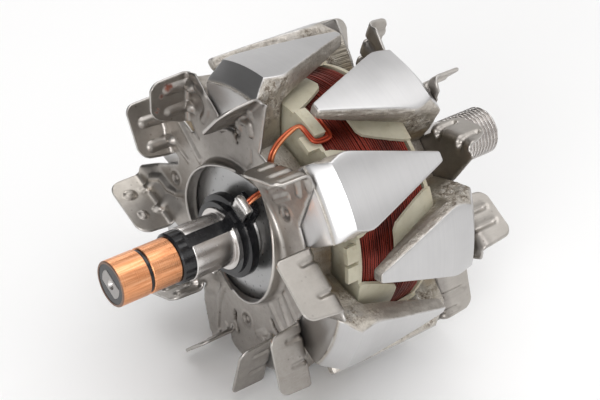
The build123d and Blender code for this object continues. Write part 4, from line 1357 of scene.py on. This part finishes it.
# ---------------------------------------------------------------- shaft with its thread
def shaft():
    R_T, depth, pitch = 8.35, 0.92, 1.5
    parts = [(-73.9, 0.42), (-76.2, 0.45), (-78.5, 1.7), (-78.5, 4.6), (-53.3, 4.6), (-53.3, 8.5), (-39.4, 8.5), (-39.4, 10.1), (38.4, 10.1), (38.4, 8.5),
             (53.4, 8.5), (53.4, 7.25), (54.6, 7.25)]
    rad = [0, 0.1, 0.12, 0.35, 0.2, 0.45, 0.25, 0.35, 0.4, 0.15, 0.35, 0.2, 0]
    prof = rounded(parts, rad, 4)
    prof = densify(prof, 2.5)
    tx = np.arange(54.6, 72.6 + 1e-6, pitch / 12)
    prof = [tuple(p) for p in prof] + [(x, R_T) for x in tx[1:]] + [(72.6, 5.0), (72.6, 2.6), (70.4, 1.6), (69.0, 0.7), (65.6, 0.7)]
    n = 144

    def wob(x, r, phi):
        if 54.6 < x <= 72.6 and r == R_T:
            f = (x / pitch + (TOP - phi) / 360.0) % 1.0
            tri = np.abs(2 * f - 1)                 # 1 at the root
            cut = depth * smooth(0.16, 0.88, tri)
            fade = min(1.0, (x - 54.6) / 1.4)
            start = np.minimum(R_T, 7.25 + (x - 54.6) * 1.1)
            end = np.minimum(R_T, R_T - 1.35 + (72.6 - x) * 1.0)
            return np.minimum(np.minimum(R_T - cut, start), end)
        return np.full(len(phi), r)

    co, faces = revolve(prof, n, wobble=wob)
    ob = outward(mesh_object("shaft_detail", co, faces))
    # flats on the tail and the grooves for the conductor arms

    def cutter(x0, x1, r0, r1, w, phi):
        pts = []
        for xx in (x0, x1):
            for rr, tt in ((r0, -w / 2), (r1, -w / 2), (r1, w / 2), (r0, w / 2)):
                pts.append(row(xx, math.hypot(rr, tt), phi + math.degrees(math.atan2(tt, rr))))
        return outward(mesh_object("cutter", np.array(pts), [(0, 1, 2, 3), (7, 6, 5, 4), (0, 4, 5, 1), (1, 5, 6, 2), (2, 6, 7, 3), (3, 7, 4, 0)]))

    for k in (0, 180):
        boolean(ob, cutter(-80, -53.29, 2.7, 12, 12, 36 + k), "DIFFERENCE")
        boolean(ob, cutter(-53.31, -33.0, 4.4, 12, 4.25, 36 + k), "DIFFERENCE")
    return ob


done(shaft(), M_SHAFT, ["shaft"], 32)

# ---------------------------------------------------------------- conductors with their clips
def conductor(name, node, x0, x1, phi):
    """Flat bar along the shaft with a tab up to its ring, ending in a strip folded round the strands."""
    import bmesh
    boxes = [(x0, -36.0, 4.9, 5.9, -1.0, 1.0), (x0, x1, 5.6, 6.31, -1.0, 1.0), (-36.8, -36.0, 5.6, 14.6, -1.0, 1.0)]
    co, faces = [], []
    for (a, b, r0, r1, t0, t1) in boxes:
        base = len(co)
        for x in (a, b):
            for rr, tt in ((r0, t0), (r1, t0), (r1, t1), (r0, t1)):
                co.append(row(x, math.hypot(rr, tt), phi + math.degrees(math.atan2(tt, rr))))
        for f in ((0, 1, 2, 3), (7, 6, 5, 4), (0, 4, 5, 1), (1, 5, 6, 2), (2, 6, 7, 3), (3, 7, 4, 0)):
            faces.append(tuple(base + q for q in f))
    # folded strip: a C in the plane across the strands, drawn along the radius
    mid = []
    for t in np.linspace(3.3, -2.0, 10):
        mid.append((-37.50, t))
    for a in np.linspace(0, 180, 11)[1:-1]:
        mid.append((-36.4 - 1.10 * math.cos(math.radians(a)), -2.0 - 1.10 * math.sin(math.radians(a))))
    for t in np.linspace(-2.0, 3.0, 9):
        mid.append((-35.30, t))
    mid = np.array(mid)
    tan = np.gradient(mid, axis=0)
    tan /= np.linalg.norm(tan, axis=1)[:, None]
    nor = np.stack([-tan[:, 1], tan[:, 0]], 1)
    levels = [(13.75, 0.24), (13.9, 0.34), (15.4, 0.36), (17.0, 0.36), (18.35, 0.34), (18.5, 0.24)]
    m = len(mid)
    base = len(co)
    for rr, hw in levels:
        for sgn in (1, -1):
            q = mid + nor * hw * sgn
            bulge = 0.10 * np.sin((rr - 13.75) / 4.75 * math.pi)
            for xx, tt in q:
                co.append(row(xx, math.hypot(rr, tt), phi + math.degrees(math.atan2(tt, rr))))
    per = 2 * m
    for L in range(len(levels) - 1):
        for sgn in (0, 1):
            for i in range(m - 1):
                a = base + L * per + sgn * m + i
                f = (a, a + 1, a + 1 + per, a + per)
                faces.append(f if sgn else tuple(reversed(f)))
        for i in (0, m - 1):
            a = base + L * per + i
            faces.append((a, a + m, a + m + per, a + per))
    for L in (0, len(levels) - 1):
        for i in range(m - 1):
            a = base + L * per + i
            faces.append((a, a + 1, a + 1 + m, a + m))
    nx, nt = 13, 14
    base = len(co)
    for lay in (0, 1):
        for i in range(nx):
            w = -1 + 2 * i / (nx - 1)
            for j in range(nt):
                v = -1 + 2 * j / (nt - 1)
                rr = 17.8 if lay == 0 else 18.05 + 0.85 * max(0.0, 1 - abs(w) ** 3.2) ** 0.5 - 0.25 * abs(v) ** 6
                xx, tt = -36.4 + 1.36 * w, 0.05 + 3.15 * v
                co.append(row(xx, math.hypot(rr, tt), phi + math.degrees(math.atan2(tt, rr))))
    lay_n = nx * nt
    for i in range(nx - 1):
        for j in range(nt - 1):
            a = base + i * nt + j
            faces.append((a, a + nt, a + nt + 1, a + 1))
            faces.append((a + lay_n, a + lay_n + 1, a + lay_n + nt + 1, a + lay_n + nt))
    ring = [i * nt for i in range(nx)] + [(nx - 1) * nt + j for j in range(1, nt)] + [i * nt + nt - 1 for i in range(nx - 2, -1, -1)] + [j for j in range(nt - 2, 0, -1)]
    for a, b in zip(ring, ring[1:] + ring[:1]):
        faces.append((base + a, base + b, base + lay_n + b, base + lay_n + a))
    ob = mesh_object(name, np.array(co), faces)
    bm = bmesh.new()
    bm.from_mesh(ob.data)
    bmesh.ops.recalc_face_normals(bm, faces=bm.faces)
    bm.to_mesh(ob.data)
    bm.free()
    return done(ob, M_TIN, [node], 50)


conductor("conductor_outer_ring_detail", "conductor_bar_outer_ring", -74.5, -72.0, 36.0)
conductor("conductor_inner_ring_detail", "conductor_bar_inner_ring", -64.0, -61.5, 216.0)

# ---------------------------------------------------------------- CAD nodes that stay
for node, mat in (("slip_ring_outer", M_COPPER), ("slip_ring_inner", M_COPPER), ("slip_ring_moulding", M_BLACK), ("bobbin", M_BOBBIN)):
    ob = NODES[node]
    ob.data.materials.clear()
    ob.data.materials.append(mat)

# ---------------------------------------------------------------- floor, light
fm = Mat("floor_pale")
fm.set(color=fm.ramp(fm.noise(3, 2), [(0.3, (0.93, 0.93, 0.93)), (0.7, (0.95, 0.95, 0.95))]), rough=0.9, spec=0.1)
bpy.ops.mesh.primitive_plane_add(size=1, location=(0, 0, 0))
floor = bpy.context.object
floor.name = "floor"
me = floor.data
for vv in me.vertices:
    vv.co = Vector((vv.co.x * 24, vv.co.y * 24, CAD_BOX[0][2] - 0.0002))
floor.data.materials.append(fm.m)

world = bpy.data.worlds.new("studio")
bpy.context.scene.world = world
world.use_nodes = True
wt = world.node_tree
bg = wt.nodes["Background"]
tc = wt.nodes.new("ShaderNodeTexCoord")
near = wt.nodes.new("ShaderNodeMapRange")
dot = wt.nodes.new("ShaderNodeVectorMath")
dot.operation = "DOT_PRODUCT"
dot.inputs[1].default_value = (-0.667, -0.527, 0.526)
wt.links.new(tc.outputs["Generated"], dot.inputs[0])
wt.links.new(dot.outputs["Value"], near.inputs[0])
near.interpolation_type = "SMOOTHSTEP"
near.inputs[1].default_value, near.inputs[2].default_value = 0.55, 0.93
near.inputs[3].default_value, near.inputs[4].default_value = 0.70, 0.07
wt.links.new(near.outputs[0], bg.inputs[1])
bg.inputs[0].default_value = (1.0, 0.99, 0.985, 1)
bpy.context.scene.view_settings.view_transform = "Standard"


def area(name, loc, target, size, power, color=(1, 1, 1)):
    ld = bpy.data.lights.new(name, "AREA")
    ld.shape = "RECTANGLE"
    ld.size, ld.size_y = size
    ld.energy = power
    ld.color = color
    lo = bpy.data.objects.new(name, ld)
    bpy.context.scene.collection.objects.link(lo)
    lo.location = loc
    d = Vector(target) - Vector(loc)
    lo.rotation_mode = "QUATERNION"
    lo.rotation_quaternion = d.to_track_quat("-Z", "Y")
    return lo


area("top", (0.15, 0.10, 1.35), (0, 0, 0), (1.5, 1.5), 10)
area("front_right", (0.75, -1.05, 0.45), (0, 0, 0), (0.45, 0.6), 6.5)
area("left", (-1.25, 0.30, 0.75), (0, 0, 0), (0.45, 0.45), 2.2)
area("back_right", (1.2, 0.9, 0.7), (0, 0, 0), (0.6, 0.6), 0.7)
